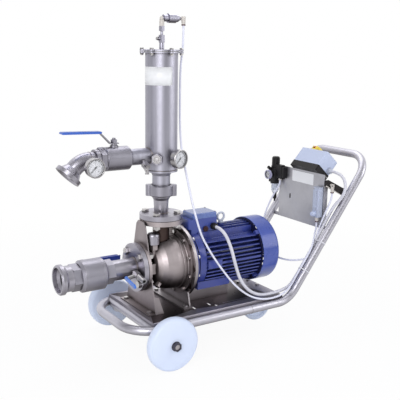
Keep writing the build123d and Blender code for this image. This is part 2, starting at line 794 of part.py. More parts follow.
def valve_seats(place, ball_d, bore_r, half):
    """Two sealing rings beside the ball."""
    seats = []
    for side in (-1, 1):
        ball_r = ball_d / 2 + run_clearance
        rim = ball_d / 2 - 4
        low = math.sqrt(ball_r ** 2 - bore_r ** 2)
        high = math.sqrt(ball_r ** 2 - rim ** 2)
        turn = (math.atan2(bore_r, low) + math.atan2(rim, high)) / 2
        middle = (ball_r * math.sin(turn), ball_r * math.cos(turn))
        outline = [Line((bore_r, low), (bore_r, half)), Line((bore_r, half), (rim, half)),
                   Line((rim, half), (rim, high)), ThreePointArc((rim, high), middle, (bore_r, low))]
        ring = revolve(Plane.XZ * make_face(outline), Axis.Z)
        seats.append(Plane(origin=place.origin, z_dir=place.z_dir * side) * ring)
    return seats


def valve_cavity(place, ball_d, bore_r, half, low, high):
    room = stack(place.offset(low), (bore_r, high - low))
    return room + stack(place.offset(-half), (ball_d / 2 + 1, 2 * half))


def lever_bar(place, profile, width):
    """Strip lever: profile is a closed outline in the plane, and the width is across it."""
    return extrude(place * make_face(Polyline(*profile, close=True)), amount=width / 2, both=True)


tilt = math.radians(stem_tilt)
stem_dir = (0, math.cos(tilt), math.sin(tilt))
suction_valve = Plane(origin=(suction_valve_x, 0, shaft_z), x_dir=stem_dir, z_dir=(-1, 0, 0))
suction_half = 42.0
suction_body_r = suction_body_d / 2
hex_in_l = suction_valve_x + suction_body_half - stub_end
hex_out_l = suction_valve_x - suction_body_half - suction_hex_end


def suction_valve_body():
    body = stack(suction_valve.offset(-suction_body_half), (suction_body_r - 9, 9, suction_body_r),
                 (suction_body_r, 2 * suction_body_half - 18), (suction_body_r, 9, suction_body_r - 9))
    body += hexagon(suction_valve.offset(-suction_body_half + hex_in_l), suction_hex_in, -hex_in_l)
    body += hexagon(suction_valve.offset(suction_body_half), suction_hex_out, hex_out_l)
    boss = Plane(origin=suction_valve.origin, z_dir=stem_dir)
    body += stack(boss.offset(30), (20, suction_stem_out - 36), (14, 3))
    body -= valve_cavity(suction_valve, suction_ball_d, suction_bore_r, suction_half,
                         hex_in_l - suction_body_half - 1, suction_body_half + hex_out_l + 1)
    return body - stack(boss, (suction_stem_r + run_clearance, 120))


suction_stem_r = 9.0
add("suction_valve_body", suction_valve_body())
seats = valve_seats(suction_valve, suction_ball_d, suction_bore_r, suction_half)
add("suction_ball", valve_ball(suction_valve, suction_ball_d, suction_bore_r, suction_stem_r, suction_stem_out))


def suction_lever():
    hub = Plane(origin=suction_valve.origin, z_dir=stem_dir).offset(suction_stem_out - 3 + face_clearance)
    flat = Plane(origin=hub.origin, x_dir=(1, 0, 0), z_dir=stem_dir)
    strip = Circle(19) + Pos(suction_lever_reach / 2, 0) * Rectangle(suction_lever_reach, 24)
    bar = extrude(flat * strip, amount=4)
    bar -= stack(hub, (suction_stem_r, 3 - face_clearance))
    bar = bar + hexagon(hub.offset(4), 24, 8)
    grip_start = suction_lever_reach - 107
    sleeve = extrude(flat.offset(-4) * (Pos(grip_start + 52, 0) * SlotOverall(106, 30)), amount=12)
    return bar, sleeve - bar


lever_s, grip_s = suction_lever()
add("suction_lever", lever_s, grip_s)

coupling = facing((suction_hex_end, 0, shaft_z), (-1, 0, 0), (0, 1, 0))
coupling_l = suction_hex_end - coupling_end
rim_r = coupling_rim_d / 2
coupling_r = coupling_d / 2
coupling_straight = coupling_l * 0.5
add("hose_coupling", turned(
    coupling, (0, coupling_bore_r), (0, coupling_r), (coupling_l * 0.45, coupling_r), (coupling_l * 0.58, rim_r - 3),
    (coupling_l * 0.64, rim_r), (coupling_l * 0.9, rim_r), (coupling_l, rim_r - 4), (coupling_l, rim_r - 10),
    (coupling_l * 0.7, rim_r - 12), (coupling_straight, coupling_bore_r),
))


# Small drain valve on the suction stub
def drain_valve_body():
    start = drain_axis.offset(stub_d / 2 - 3)
    body = stack(start, (9, 12)) + hexagon(drain_axis.offset(stub_d / 2 + 9), 24, 26)
    body += stack(drain_axis.offset(stub_d / 2 + 35), (10.5, 44))
    body += stack(Plane(origin=drain_ball_at, z_dir=drain_stem_dir), (7, drain_boss_l))
    body -= stack(facing((-250, 0, shaft_z), (1, 0, 0)), (stub_d / 2, 300))
    body -= stack(drain_axis.offset(20), (drain_bore_r, 110))
    body -= Pos(*drain_ball_at) * Sphere(10)
    body -= stack(Plane(origin=drain_ball_at, z_dir=drain_stem_dir), (3 + run_clearance, drain_boss_l + 10))
    return body + stack(drain_axis.offset(stub_d / 2 + 35 + 40), (10.5, 4), bore=8)


drain_ball_at = drain_axis.offset(stub_d / 2 + 22).origin
drain_lean = math.radians(12)
drain_boss_l = 40.0
drain_lever_l = 62.0
drain_down = drain_axis.y_dir if drain_axis.y_dir.Z < 0 else -drain_axis.y_dir
drain_stem_dir = Vector(-1, 0, 0) * math.cos(drain_lean) + drain_down * math.sin(drain_lean)
drain_frame = Plane(origin=drain_ball_at, x_dir=drain_out, z_dir=drain_stem_dir)


def drain_lever():
    ball = Pos(*drain_ball_at) * Sphere(10 - run_clearance)
    ball -= stack(drain_axis.offset(20), (drain_bore_r, 110))
    ball += stack(drain_frame.offset(8), (3, drain_boss_l - 4))
    strip = Circle(10) + Pos(drain_lever_l / 2, 0) * Rectangle(drain_lever_l, 15)
    strip += Pos(drain_lever_l, 0) * Circle(9)
    return ball + extrude(drain_frame.offset(drain_boss_l + face_clearance) * strip, amount=6)


add("drain_lever", drain_lever())

# Discharge stack: counter flange with its neck, and the lugged union nut
neck_z = union_z0 - 16
neck_l = neck_z - outlet_counter.origin.Z - stack_flange_t
discharge_neck = stack(outlet_counter, (outlet_flange_d / 2, stack_flange_t),
                       (neck_d / 2, neck_l, neck_d / 2 + 3), (neck_d / 2 + 3, 11, 35), (35, 5), bore=22)
discharge_neck = cut(discharge_neck, holes(top_bolts_at, flange_hole_r, stack_flange_t))
add("counter_flanges", suction_pipe, discharge_neck)


def union_nut():
    place = facing((0, 0, union_z0), (0, 0, 1), (1, 0, 0))
    height = union_z1 - union_z0
    nut = stack(place, (union_d / 2 - 3, 4, union_d / 2), (union_d / 2, height - 8),
                (union_d / 2, 4, union_d / 2 - 3))
    nut += extrude(place * (Rot(Z=-30) * SlotOverall(union_lugs_d, 30)), amount=height)
    return nut - stack(place.offset(-1), (column_pipe_d / 2 + 2, height + 2))


add("union_nut", union_nut())


# Column: flotation vessel with its lower pipe, cone, rim, tube and branch pipe
def column_shell():
    axis = facing((0, 0, 0), (0, 0, 1))
    r = column_d / 2
    p = column_pipe_d / 2
    ear_z = column_top_z - ear_t
    body = turned(
        axis, (union_z0, 22), (union_z0, p + 1.9), (union_z0 + 12, p + 1.9), (union_z0 + 12, p), (668, p),
        (684, 42.5), (684, column_rim_d / 2), (column_base_z, column_rim_d / 2), (column_base_z, r), (ear_z, r),
        (ear_z, lid_d / 2), (column_top_z, lid_d / 2), (column_top_z, r - column_wall),
        (column_base_z, r - column_wall), (column_base_z - 3, 38), (668, p - 4), (668, 22),
    )
    for k in range(lid_bolts_n):
        ear = Rot(Z=30 + 360 / lid_bolts_n * k) * (Pos(lid_bolt_r - 12, 0) * SlotOverall(40, 17))
        body += Pos(0, 0, ear_z) * extrude(ear, amount=column_top_z - ear_z) - stack(
            axis.offset(ear_z - 1), (r - 1, 12))
    branch = facing((0, 0, branch_z), (-1, 0, 0))
    body += stack(branch.offset(r - 8), (branch_d / 2, -branch_pipe_end - r + 8)) - stack(
        axis.offset(branch_z - 60), (r - 1, 120))
    body -= stack(branch.offset(r - 20), (branch_bore_r, 200))
    for angle, height in column_ports:
        body -= stack(column_port(angle, height, r - 4), (5, 10))
    return cut(body, holes(lid_bolts_at(column_top_z), lid_bolt / 2 + 0.5, ear_t))


def column_port(angle, height, out):
    turn = math.radians(angle)
    way = Vector(math.cos(turn), math.sin(turn), 0)
    return Plane(origin=way * out + Vector(0, 0, height), x_dir=(0, 0, 1), z_dir=way)


def lid_bolts_at(height):
    return around(facing((0, 0, height), (0, 0, 1), (1, 0, 0)), lid_bolt_r, lid_bolts_n, 30)


gauge_port = (-75, branch_z - 5)
plug_port = (-132, 738)
column_ports = [gauge_port, plug_port]
add("column_shell", column_shell())


def column_lid():
    place = facing((0, 0, column_top_z + gasket_t), (0, 0, 1))
    lid = stack(place, (lid_d / 2, lid_t - 2), (lid_d / 2, 2, lid_d / 2 - 2))
    for k in range(lid_bolts_n):
        ear = Rot(Z=30 + 360 / lid_bolts_n * k) * (Pos(lid_bolt_r - 12, 0) * SlotOverall(40, 17))
        lid += place * extrude(ear, amount=lid_t)
    lid -= stack(place.offset(-1), (5, 30))
    return cut(lid, holes(lid_bolts_at(column_top_z + gasket_t + lid_t), lid_bolt / 2 + 0.5, lid_t))


add("column_lid", column_lid())
lid_gasket = stack(facing((0, 0, column_top_z), (0, 0, 1)), (column_d / 2 + 4, gasket_t),
                   bore=column_d / 2 - column_wall)
lid_top = column_top_z + gasket_t + lid_t
lid_bolts = [bolt(p, lid_bolt, ear_t + gasket_t + lid_t) for p in lid_bolts_at(lid_top)]
add("hex_bolts", *casing_bolts, *lid_bolts, *caster_bolts(), *foot_bolts)

# Hexagon sight plug beside the column gauge
plug = column_port(*plug_port, column_d / 2)
sight = stack(plug.offset(-6), (17, 12)) + hexagon(plug.offset(6), 37, 12)
sight -= stack(facing((0, 0, 700), (0, 0, 1)), (column_d / 2, 80))
add("pipe_plugs", cap, sight)


# Needle valve, fittings and check valve on top of the column
valve_h = 82.0
injector_h = 111.0
barrel_z = lid_top + injector_h


def top_valve():
    place = facing((0, 0, lid_top), (0, 0, 1))
    body = stack(place, (9, 25)) + hexagon(place.offset(25), 22, 26) + stack(place.offset(51), (5, 14))
    body += hexagon(place.offset(65), 20, valve_h - 65)
    body += stack(knob_stem.offset(4), (7, 12))
    return body - stack(knob_stem.offset(8), (3 + run_clearance, 20))


knob_stem = facing((0, 0, lid_top + 38), (-1, 0, 0))
add("top_valve_knob", stack(knob_stem.offset(9), (3, 7 + face_clearance), (5.5, 6)))


def check_valve():
    start = facing((2, 0, barrel_z), (1, 0, 0))
    return stack(start, (8, 4), (12.5, 19), (17, 31), (13, 10), (13, 12, 5))


add("air_injector", top_valve(), check_valve())
left_fit = facing((0, 0, lid_top + valve_h), (0, 0, 1))
left_elbow = stack(left_fit, (9, injector_h - valve_h - 6), (6, 6)) + Pos(0, 0, barrel_z - 1) * Sphere(8)
left_elbow += stack(facing((-4, 0, barrel_z), (1, 0, 0)), (5.5, 6))
left_elbow -= check_valve()
hose_x = 92.0
right_fit = facing((hose_x, 0, barrel_z), (0, 0, -1))
right_elbow = stack(right_fit.offset(-8), (8, 24), (7, 8))
right_elbow += stack(facing((80, 0, barrel_z), (1, 0, 0)), (6, 12))
right_elbow -= check_valve()

# Outlet branch: ball valve with its lever, then the elbow with its ferrule
branch_valve = Plane(origin=(branch_valve_x, 0, branch_z), x_dir=(0, 0, 1), z_dir=(-1, 0, 0))
branch_half = 31.0
branch_body_r = branch_body_d / 2
body_in = branch_pipe_end - branch_valve_x
body_out = 44.0
hex_l = 19.0
ring_l = 16.0
branch_ring_end = branch_valve_x - body_out - hex_l - ring_l
branch_stem_r = 7.0
branch_stem_out = 62.0
add("branch_ball", valve_ball(branch_valve, branch_ball_d, branch_bore_r, branch_stem_r, branch_stem_out))
seats += valve_seats(branch_valve, branch_ball_d, branch_bore_r, branch_half)
add("seals", shaft_seal, gasket_s, gasket_o, lid_gasket, *seats)


def branch_valve_body():
    start = branch_valve.offset(-body_in)
    length = body_in + body_out
    body = stack(start, (branch_body_r - 6, 6, branch_body_r), (branch_body_r, length - 12),
                 (branch_body_r, 6, branch_body_r - 6))
    body += hexagon(start.offset(length), branch_hex, hex_l)
    boss = Plane(origin=branch_valve.origin, z_dir=(0, 0, 1))
    body += stack(boss.offset(20), (15, 28), (11, 5))
    body -= valve_cavity(branch_valve, branch_ball_d, branch_bore_r, branch_half, -body_in - 1, body_out + hex_l + 1)
    return body - stack(boss, (branch_stem_r + run_clearance, 100))


add("branch_valve_body", branch_valve_body())


def branch_lever():
    hub_z = branch_z + 53 + face_clearance
    x0 = branch_valve_x
    centre = [(x0 + 16, hub_z), (x0 - 16, hub_z), (x0 - 58, hub_z + 42), (x0 - 198, hub_z + 46)]
    upper = [(x, z + 4) for x, z in reversed(centre)]
    upper[1] = (upper[1][0] + 1, upper[1][1])
    upper[2] = (upper[2][0] + 2, upper[2][1])
    bar = lever_bar(Plane.XZ, centre + upper, 18)
    bar += hexagon(facing((x0, 0, hub_z + 4), (0, 0, 1)), 22, 12) + stack(facing((x0, 0, hub_z + 16), (0, 0, 1)), (6, 6))
    bar -= stack(facing((x0, 0, hub_z - 1), (0, 0, 1)), (branch_stem_r, branch_stem_out - 52 - face_clearance))
    place = Plane.XZ
    low = Polyline((x0 - 59, hub_z + 39.5), (x0 - 197, hub_z + 43.5), (x0 - 202, hub_z + 46), (x0 - 202, hub_z + 50),
                   (x0 - 197, hub_z + 52.5), (x0 - 56, hub_z + 48.5), (x0 - 51, hub_z + 46), (x0 - 51, hub_z + 42),
                   close=True)
    sleeve = extrude(place * make_face(low), amount=11.5, both=True)
    return bar, sleeve - bar


lever_b, grip_b = branch_lever()
add("branch_lever", lever_b, grip_b)


def outlet_elbow():
    ring_start = branch_valve.offset(body_out + hex_l)
    body = stack(ring_start, (38, ring_l), bore=branch_bore_r)
    turn = math.radians(elbow_turn)
    arc_mid = (elbow_start - elbow_r * math.sin(turn / 2), 0, branch_z - elbow_r * (1 - math.cos(turn / 2)))
    arc_end = (elbow_start - elbow_r * math.sin(turn), 0, branch_z - elbow_r * (1 - math.cos(turn)))
    start = (branch_ring_end, 0, branch_z)
    bend = (elbow_start, 0, branch_z)
    path = Line(start, bend) + ThreePointArc(bend, arc_mid, arc_end)
    ring = Circle(branch_d / 2) - Circle(branch_bore_r)
    body += sweep(Plane(origin=start, z_dir=(-1, 0, 0)) * ring, path=path)
    mouth = facing(arc_end, elbow_out, (0, 1, 0))
    reach = ferrule_out + ferrule_t
    body += turned(mouth, (0, branch_bore_r), (0, branch_d / 2), (8, branch_d / 2), (ferrule_out, ferrule_d / 2 - 8),
                   (ferrule_out, ferrule_d / 2), (reach, ferrule_d / 2), (reach, ferrule_d / 2 - 6),
                   (reach - 6, ferrule_d / 2 - 12), (10, branch_bore_r))
    body -= stack(facing((outlet_gauge_x, -20, outlet_gauge_z), (0, -1, 0)), (5, 30))
    return body, sweep(Plane(origin=start, z_dir=(-1, 0, 0)) * Circle(branch_d / 2), path=path)


elbow_out = (-math.sin(math.radians(elbow_turn)), 0, -math.cos(math.radians(elbow_turn)))
outlet_gauge_x = -305.0
outlet_gauge_z = 729.0
elbow, elbow_core = outlet_elbow()
add("outlet_elbow", elbow)


# Pressure gauges: case with its dial, glass and needle
regulator_half = 23.0
regulator_y = panel_w / 2 + regulator_gap + regulator_half


def gauge(place, stem_l, diameter, depth):
    """The place is at the back of the case, with its normal towards the reader and its x direction up."""
    r = diameter / 2
    case = stack(place, (r - 3, 3, r), (r, depth - 3))
    case -= stack(place.offset(depth - 8), (r - 4, 9))
    back = Plane(origin=place.origin, z_dir=-place.z_dir)
    case += stack(back, (6.5, stem_l)) + hexagon(back.offset(2), 14, 8)
    case += stack(place.offset(depth - 8), (1.5, 4))
    glass = stack(place.offset(depth - 3), (r - 4, 2))
    return case, glass


def needle(place, diameter, depth, rest_angle):
    r = diameter / 2
    hub = Plane(origin=place.origin, x_dir=place.x_dir, z_dir=place.z_dir).offset(depth - 7)
    hand = Circle(3) + make_face(Polyline((-8, 1.4), (r - 12, 0.5), (r - 12, -0.5), (-8, -1.4), close=True))
    body = extrude(hub * (Rot(Z=rest_angle) * hand), amount=1.2)
    return body - stack(hub.offset(-2), (1.5 + run_clearance, 6))


column_gauge = column_port(*gauge_port, 78.0)
outlet_gauge = facing((outlet_gauge_x, -59, outlet_gauge_z), (0, -1, 0), (0, 0, 1))
regulator_gauge = facing((regulator_x - regulator_half - 10, regulator_y, 587), (-1, 0, 0), (0, 0, 1))
case_c, glass_c = gauge(column_gauge, 18, gauge_d, gauge_depth)
case_c -= stack(facing((0, 0, 700), (0, 0, 1)), (column_d / 2, 80))
case_o, glass_o = gauge(outlet_gauge, 34, gauge_d - 1, gauge_depth)
case_o -= elbow_core
case_r, glass_r = gauge(regulator_gauge, 10, small_gauge_d, 14)
add("gauges", case_c, case_o, case_r, glass_c, glass_o, glass_r)
add("column_needle", needle(column_gauge, gauge_d, gauge_depth, 135))
add("outlet_needle", needle(outlet_gauge, gauge_d, gauge_depth, 135))


# Sample cock on the near side of the branch pipe, with a small lever
cock_dip = math.radians(28)
cock_out = (0, -math.cos(cock_dip), -math.sin(cock_dip))
cock_x = -90.0
cock_axis = facing((cock_x, 0, branch_z), cock_out, (1, 0, 0))
cock_ball_at = cock_axis.offset(branch_d / 2 + 24).origin


def sample_cock():
    body = stack(cock_axis.offset(branch_d / 2 - 3), (7, 14))
    body += hexagon(cock_axis.offset(branch_d / 2 + 11), 20, 26)
    spout = cock_axis.offset(branch_d / 2 + 30)
    body += stack(facing(spout.origin, (0, 0, -1)), (6, 26), (7.5, 4))
    body += stack(cock_lever_axis, (6, 13))
    body -= stack(facing((-60, 0, branch_z), (-1, 0, 0)), (branch_d / 2, 75))
    body -= stack(facing(spout.origin, (0, 0, -1)), (3.5, 40))
    return body - stack(cock_lever_axis, (2.5 + run_clearance, 30))


def sample_lever():
    arm = stack(cock_lever_axis.offset(4), (2.5, 13))
    flat = Circle(6.5) + Pos(13, 0) * Rectangle(26, 9) + Pos(26, 0) * Circle(6)
    return arm + extrude(cock_lever_axis.offset(13 + face_clearance) * flat, amount=4)


cock_lever_axis = Plane(origin=cock_ball_at, x_dir=cock_out, z_dir=(-1, 0, 0))
add("drain_cocks", drain_valve_body(), sample_cock())
add("sample_lever", sample_lever())

# Equipment panel across the handle tubes
slope_dir = Vector(math.cos(rise), 0, math.sin(rise))
slope_up = Vector(-math.sin(rise), 0, math.cos(rise))
slope_start = Vector(rear_bend_x, 0, rail_height)
tilt_a = math.radians(box_tilt)
box_along = Vector(math.cos(tilt_a), 0, -math.sin(tilt_a))
box_up = Vector(math.sin(tilt_a), 0, math.cos(tilt_a))


def handle_tube(side):
    place = Plane(origin=slope_start + Vector(0, side * rail_y, 0), z_dir=slope_dir)
    return stack(place, (tube_r, handle_slope))


def panel():
    half = panel_w / 2
    x = panel_x
    end = Vector(x, 0, panel_z1) + box_along * panel_flange
    end_in = end - box_up * panel_t
    top = Polyline((x, panel_z1 - 4), (x, panel_z1), (end.X, end.Z), (end_in.X, end_in.Z),
                   (x + panel_t, panel_z1 - panel_t - 1.5), (x + panel_t, panel_z1 - 4), close=True)
    body = box_between((x, -half, panel_z0), (x + panel_t, half, panel_z1 - 4))
    body += extrude(Plane.XZ * make_face(top), amount=half, both=True)
    for side in (-1, 1):
        low_y = min(side * half, side * (half - panel_t))
        body += box_between((x, low_y, panel_z0), (x + panel_flange, low_y + panel_t, panel_z1 - 24))
    reach = rail_y - 2
    body += box_between((x, -reach, panel_z0 - 15), (x + panel_t, reach, panel_z0))
    body += box_between((x, -half, panel_z0), (x + panel_flange, half, panel_z0 + panel_t))
    keyhole = Pos(panel_x - 1, 69, 504) * Rot(Y=90) * SlotOverall(22, 8)
    body -= extrude(keyhole, amount=4)
    return body - handle_tube(-1) - handle_tube(1)


add("panel", panel())

# Strut from the panel's upper corner down to the near handle tube, with its push-in elbow
strut_top = Vector(panel_x + 10, -panel_w / 2 - 4, 596)
strut_low = slope_start + slope_dir * strut_reach + Vector(0, -rail_y + tube_r + 1, 0)


def panel_strut():
    along = strut_low - strut_top
    side = Vector(0, 1, 0).cross(along).normalized()
    place = Plane(origin=strut_top, x_dir=side, z_dir=along)
    bar = extrude(place * Rectangle(strut_w, 5), amount=along.length + 6)
    washer = Plane(origin=(strut_top.X, -panel_w / 2, strut_top.Z), z_dir=(0, -1, 0))
    bar += extrude(washer * Circle(10), amount=7)
    return bar - handle_tube(-1)


strut_mid = strut_top + (strut_low - strut_top) * 0.2
elbow_body = stack(Plane(origin=strut_mid + Vector(0, -2.5, 0), z_dir=(0, -1, 0)), (7, 16))
elbow_body += stack(Plane(origin=strut_mid + Vector(0, -12, 0), z_dir=(0, 0, -1)), (7, 30))
strut = panel_strut()
add("panel_strut", strut, elbow_body - strut)

# Starter box: base and cover, tilted to face the person at the handle
box_corner = Vector(panel_x, 0, panel_z1) - box_along * 25.5


def starter_solid(low, high, inset, rounding):
    corner = box_corner + Vector(0, starter_y0, 0)
    place = Plane(origin=corner + box_up * low, x_dir=box_along, z_dir=box_up)
    width = starter_y1 - starter_y0
    spot = Pos(starter_l / 2, width / 2)
    outline = spot * RectangleRounded(starter_l - 2 * inset, width - 2 * inset, rounding)
    return extrude(place * outline, amount=high - low)


starter_base = starter_solid(0, starter_base_h, 0, 6)
starter_cover = starter_solid(starter_base_h, starter_base_h + starter_cover_h, 0.5, 8)
cover_top = starter_cover.faces().sort_by(Axis(origin=(0, 0, 0), direction=box_up))[-1]
starter_cover = fillet(cover_top.edges(), 5)
add("starter_base", starter_base)
add("starter_cover", starter_cover)

# Emergency stop on the operator's face, in its guard ring
estop_spot = box_corner + box_along * (starter_l / 2) + box_up * (starter_base_h + starter_cover_h)
estop_place = Plane(origin=estop_spot + Vector(0, estop_y, 0), x_dir=box_along, z_dir=box_up)
guard = stack(estop_place, (24, 4), (23, 14), (24, 10), bore=19.5)
guard += stack(estop_place, (20, 8), bore=8 + run_clearance)
guard -= extrude(estop_place.offset(14) * Rectangle(60, 16), amount=30)
add("estop_guard", guard)
estop_travel = 5.0
button = stack(estop_place.offset(6), (8, 12), (14, 3, 18), (18, 8), (18, 4, 12))
add("estop_button", button)

# Flow meter on the panel front: clear block with its float and its setting knob
meter_y0 = -panel_w / 2 + panel_t
meter_y1 = meter_y0 + 34
meter_z0 = 450.0
meter_z1 = 578.0
meter_depth = 28.0
meter_y = (meter_y0 + meter_y1) / 2
meter_bore = 5.0


def flow_meter():
    body = box_between((panel_x - meter_depth, meter_y0, meter_z0), (panel_x, meter_y1, meter_z1))
    body = fillet(body.edges().filter_by(Axis.Z), 3)
    tube = facing((panel_x - meter_depth / 2, meter_y, meter_z0 + 32), (0, 0, 1))
    body -= stack(tube, (meter_bore, 84))
    knob_hole = facing((panel_x - meter_depth - 1, meter_y, meter_z0 + 16), (1, 0, 0))
    return body - stack(knob_hole, (3 + run_clearance, 13))


def meter_knob():
    place = facing((panel_x - meter_depth + 11, meter_y, meter_z0 + 16), (-1, 0, 0), (0, 0, 1))
    return stack(place, (3, 11 + face_clearance), (11, 4), (9.5, 12), (9.5, 2, 8))


add("flow_meter", flow_meter())
float_place = facing((panel_x - meter_depth / 2, meter_y, meter_z0 + 33), (0, 0, 1))
add("meter_float", stack(float_place, (2, 5, meter_bore - 0.6), (meter_bore - 0.6, 5)))
add("meter_knob", meter_knob())
meter_fit = facing((panel_x - meter_depth / 2, meter_y, meter_z0), (0, 0, -1))
meter_fitting = stack(meter_fit, (8, 12), (7, 10))
add("push_fittings", left_elbow, right_elbow, meter_fitting)

# Air filter regulator beside the panel, on its bracket block
arm_y = panel_w / 2 - 32
pilot_port_y = panel_w / 2 - 16
regulator_z0 = 545.0
regulator_z1 = 625.0


def regulator_body():
    x0 = regulator_x - regulator_half
    body = box_between((x0, regulator_y - regulator_half, regulator_z0 + 6),
                       (regulator_x + regulator_half, regulator_y + regulator_half, regulator_z1 - 10))
    body = fillet(body.edges().filter_by(Axis.Z), 7)
    axis = facing((regulator_x, regulator_y, regulator_z0), (0, 0, 1))
    body += stack(axis, (22, 6)) + stack(axis.offset(70), (20, 10))
    body += box_between((regulator_x - 18, arm_y, 574), (regulator_x + 3, regulator_y - regulator_half, 634))
    body += box_between((panel_x - 20, arm_y - 16, 580), (panel_x, arm_y, 628))
    stub = facing((x0 - 4, regulator_y + 8, 612), (-0.8, 0, 0.6))
    body += stack(stub.offset(-6), (7, 18))
    body += stack(facing((regulator_x - 8, pilot_port_y, 574), (0, 0, -1)), (8, 8))
    return body - stack(axis.offset(40), (5 + run_clearance, 60)) - case_r


def regulator_bowl():
    axis = facing((regulator_x, regulator_y, regulator_z0), (0, 0, -1))
    bowl = stack(axis, (21, 4), (17, 30), (17, 10, 11), (8.5, 28), (4, 12))
    return bowl - stack(axis.offset(-1), (15, 30))


def regulator_knob():
    axis = facing((regulator_x, regulator_y, regulator_z1 + face_clearance), (0, 0, 1))
    return stack(axis, (18, 34), (18, 6, 14)) + stack(axis.offset(-30), (5, 31))


add("regulator_body", regulator_body())
add("regulator_bowl", regulator_bowl())
add("regulator_knob", regulator_knob())

# Cable glands: motor, its blank plug, and the starter box
box_gland_at = box_corner + box_along * 64 + box_up * (starter_base_h + 16) + Vector(0, starter_y0, 0)
box_gland_place = Plane(origin=box_gland_at, x_dir=(0, 0, 1), z_dir=(0, -1, 0))
box_gland = hexagon(box_gland_place, 24, 7) + stack(box_gland_place.offset(7), (11, 7), (11, 5, 7.5))
box_gland -= starter_cover
add("cable_glands", gland, blank_plug, box_gland)


def on_slope(along, up, y):
    """Point beside the near handle tube, measured along it and above it."""
    return slope_start + slope_dir * along + slope_up * up + Vector(0, y, 0)


# Cables and hoses: straight runs with the largest arcs that they leave room for
gland_end = gland_at.offset(22).origin
box_gland_end = box_gland_place.offset(19).origin
power_route = [
    tuple(gland_end), (gland_x, -95, gland_z), (224, -118, 429), (240, -136, 372), (252, -146, 310), (270, -156, 248),
    (305, -166, 202), (352, -171, 178), (408, -170, 172), (464, -166, 173), (512, -164, 182),
    tuple(on_slope(88, 6, -164)), tuple(on_slope(170, 6, -164)), tuple(on_slope(258, 7, -164)),
    tuple(on_slope(335, 10, -163)), (716, -164, 460), (737, -174, 505), (749, -198, 535), (757, -212, 572),
    (760, -204, 613), tuple(box_gland_end + Vector(0, -42, 0)), tuple(box_gland_end),
]
air_route = [
    (hose_x, 0, barrel_z - 24), (hose_x, 0, 1165), (86, -2, 1112), (77, -4, 1060), (73, -12, 800), (77, -46, 694),
    (82, -86, 580), (92, -103, 515), (107, -120, 444), (130, -136, 392), (160, -147, 341), (194, -156, 292),
    (226, -166, 249), (262, -179, 212), (308, -189, 181), (362, -192, 164), (420, -191, 161), (466, -187, 167),
    (508, -182, 190), tuple(on_slope(84, 20, -180)), tuple(on_slope(160, 20, -179)), tuple(on_slope(235, 21, -179)),
    (644, -160, 372), (670, -136, 388), tuple(meter_fit.offset(50).origin), tuple(meter_fit.offset(22).origin),
]
pilot_route = [
    (regulator_x - 8, pilot_port_y, 566), (regulator_x - 8, pilot_port_y, 546), (664, 129, 516), (632, 128, 470), (600, 122, 412),
    (574, 104, 350), (560, 68, 300), (557, 18, 273), (560, -39, 266), (568, -90, 268), (588, -132, 276),
    tuple(on_slope(200, -9, -163)), tuple(on_slope(262, -6, -162)), tuple(on_slope(310, 8, -148)),
    (699, -151, 452), (718, -158, 500), tuple(strut_mid + Vector(0, -12, -52)), tuple(strut_mid + Vector(0, -12, -30)),
]


def cord_radii(points):
    radii = []
    for before, at, after in zip(points, points[1:], points[2:]):
        a = Vector(*at) - Vector(*before)
        b = Vector(*after) - Vector(*at)
        half_turn = math.radians(a.get_angle(b)) / 2
        radii.append(0.45 * min(a.length, b.length) / math.tan(half_turn))
    return radii


def cord(name, points, diameter):
    path = FilletPolyline(*points, radius=cord_radii(points))
    tube = sweep(Plane(origin=path @ 0, z_dir=path % 0) * Circle(diameter / 2), path=path)
    runs = [round((Vector(*q) - Vector(*p)).length) for p, q in zip(points, points[1:])]
    print(name, "length", round(path.length), "radii", [round(r) for r in cord_radii(points)])
    print(name, "runs", runs, "volume ratio", round(tube.volume / (math.pi * diameter ** 2 / 4 * path.length), 4))
    add(name, tube)


cord("power_cable", power_route, cable_d)
cord("air_hose", air_route, air_hose_d)
cord("pilot_hose", pilot_route, air_hose_d)

# Write each piece with the origin below the middle of the whole pump set
os.makedirs("parts", exist_ok=True)
for name, bodies in nodes.items():
    solids = []
    for body in bodies:
        solids += (Pos(-mid_x, 0, 0) * body).solids()
    piece = solids[0] if len(solids) == 1 else Compound(children=solids)
    piece.label = name
    export_step(piece, f"parts/{name}.step")
print(len(nodes), "nodes")
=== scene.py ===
import math

import bmesh
import bpy
from mathutils import Matrix, Vector


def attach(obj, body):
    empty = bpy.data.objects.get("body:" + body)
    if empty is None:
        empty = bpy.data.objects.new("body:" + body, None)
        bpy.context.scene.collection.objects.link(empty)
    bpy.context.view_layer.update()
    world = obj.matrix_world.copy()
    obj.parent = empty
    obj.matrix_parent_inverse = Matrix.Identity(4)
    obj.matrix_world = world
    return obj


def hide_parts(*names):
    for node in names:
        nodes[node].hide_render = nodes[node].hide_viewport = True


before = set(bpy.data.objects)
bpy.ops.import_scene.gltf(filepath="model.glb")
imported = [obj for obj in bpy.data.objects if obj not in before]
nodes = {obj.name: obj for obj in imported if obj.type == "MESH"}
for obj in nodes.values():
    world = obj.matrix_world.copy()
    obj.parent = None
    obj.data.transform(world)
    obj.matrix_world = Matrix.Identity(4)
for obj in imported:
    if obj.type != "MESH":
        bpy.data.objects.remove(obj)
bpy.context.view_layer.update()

# The part was drawn with its zero on the column axis, in millimetres. The frame has its zero
# under the middle of the overall length, in metres.
REAR_BEND_X = 492.0
HANDLE_SLOPE = 704.0
HANDLE_RISE = math.radians(53.2)
TUBE_R = 16.85
COUPLING_END = -424.0
RAIL_Y = 189.0
RAIL_HEIGHT = 134.0
AXLE_X = -94.0
AXLE_Z = 100.0
WHEEL_Y = 249.0
SHAFT_Z = 322.4
COLUMN_R = 60.0
BRANCH_R = 30.15
BRANCH_Z = 744.0
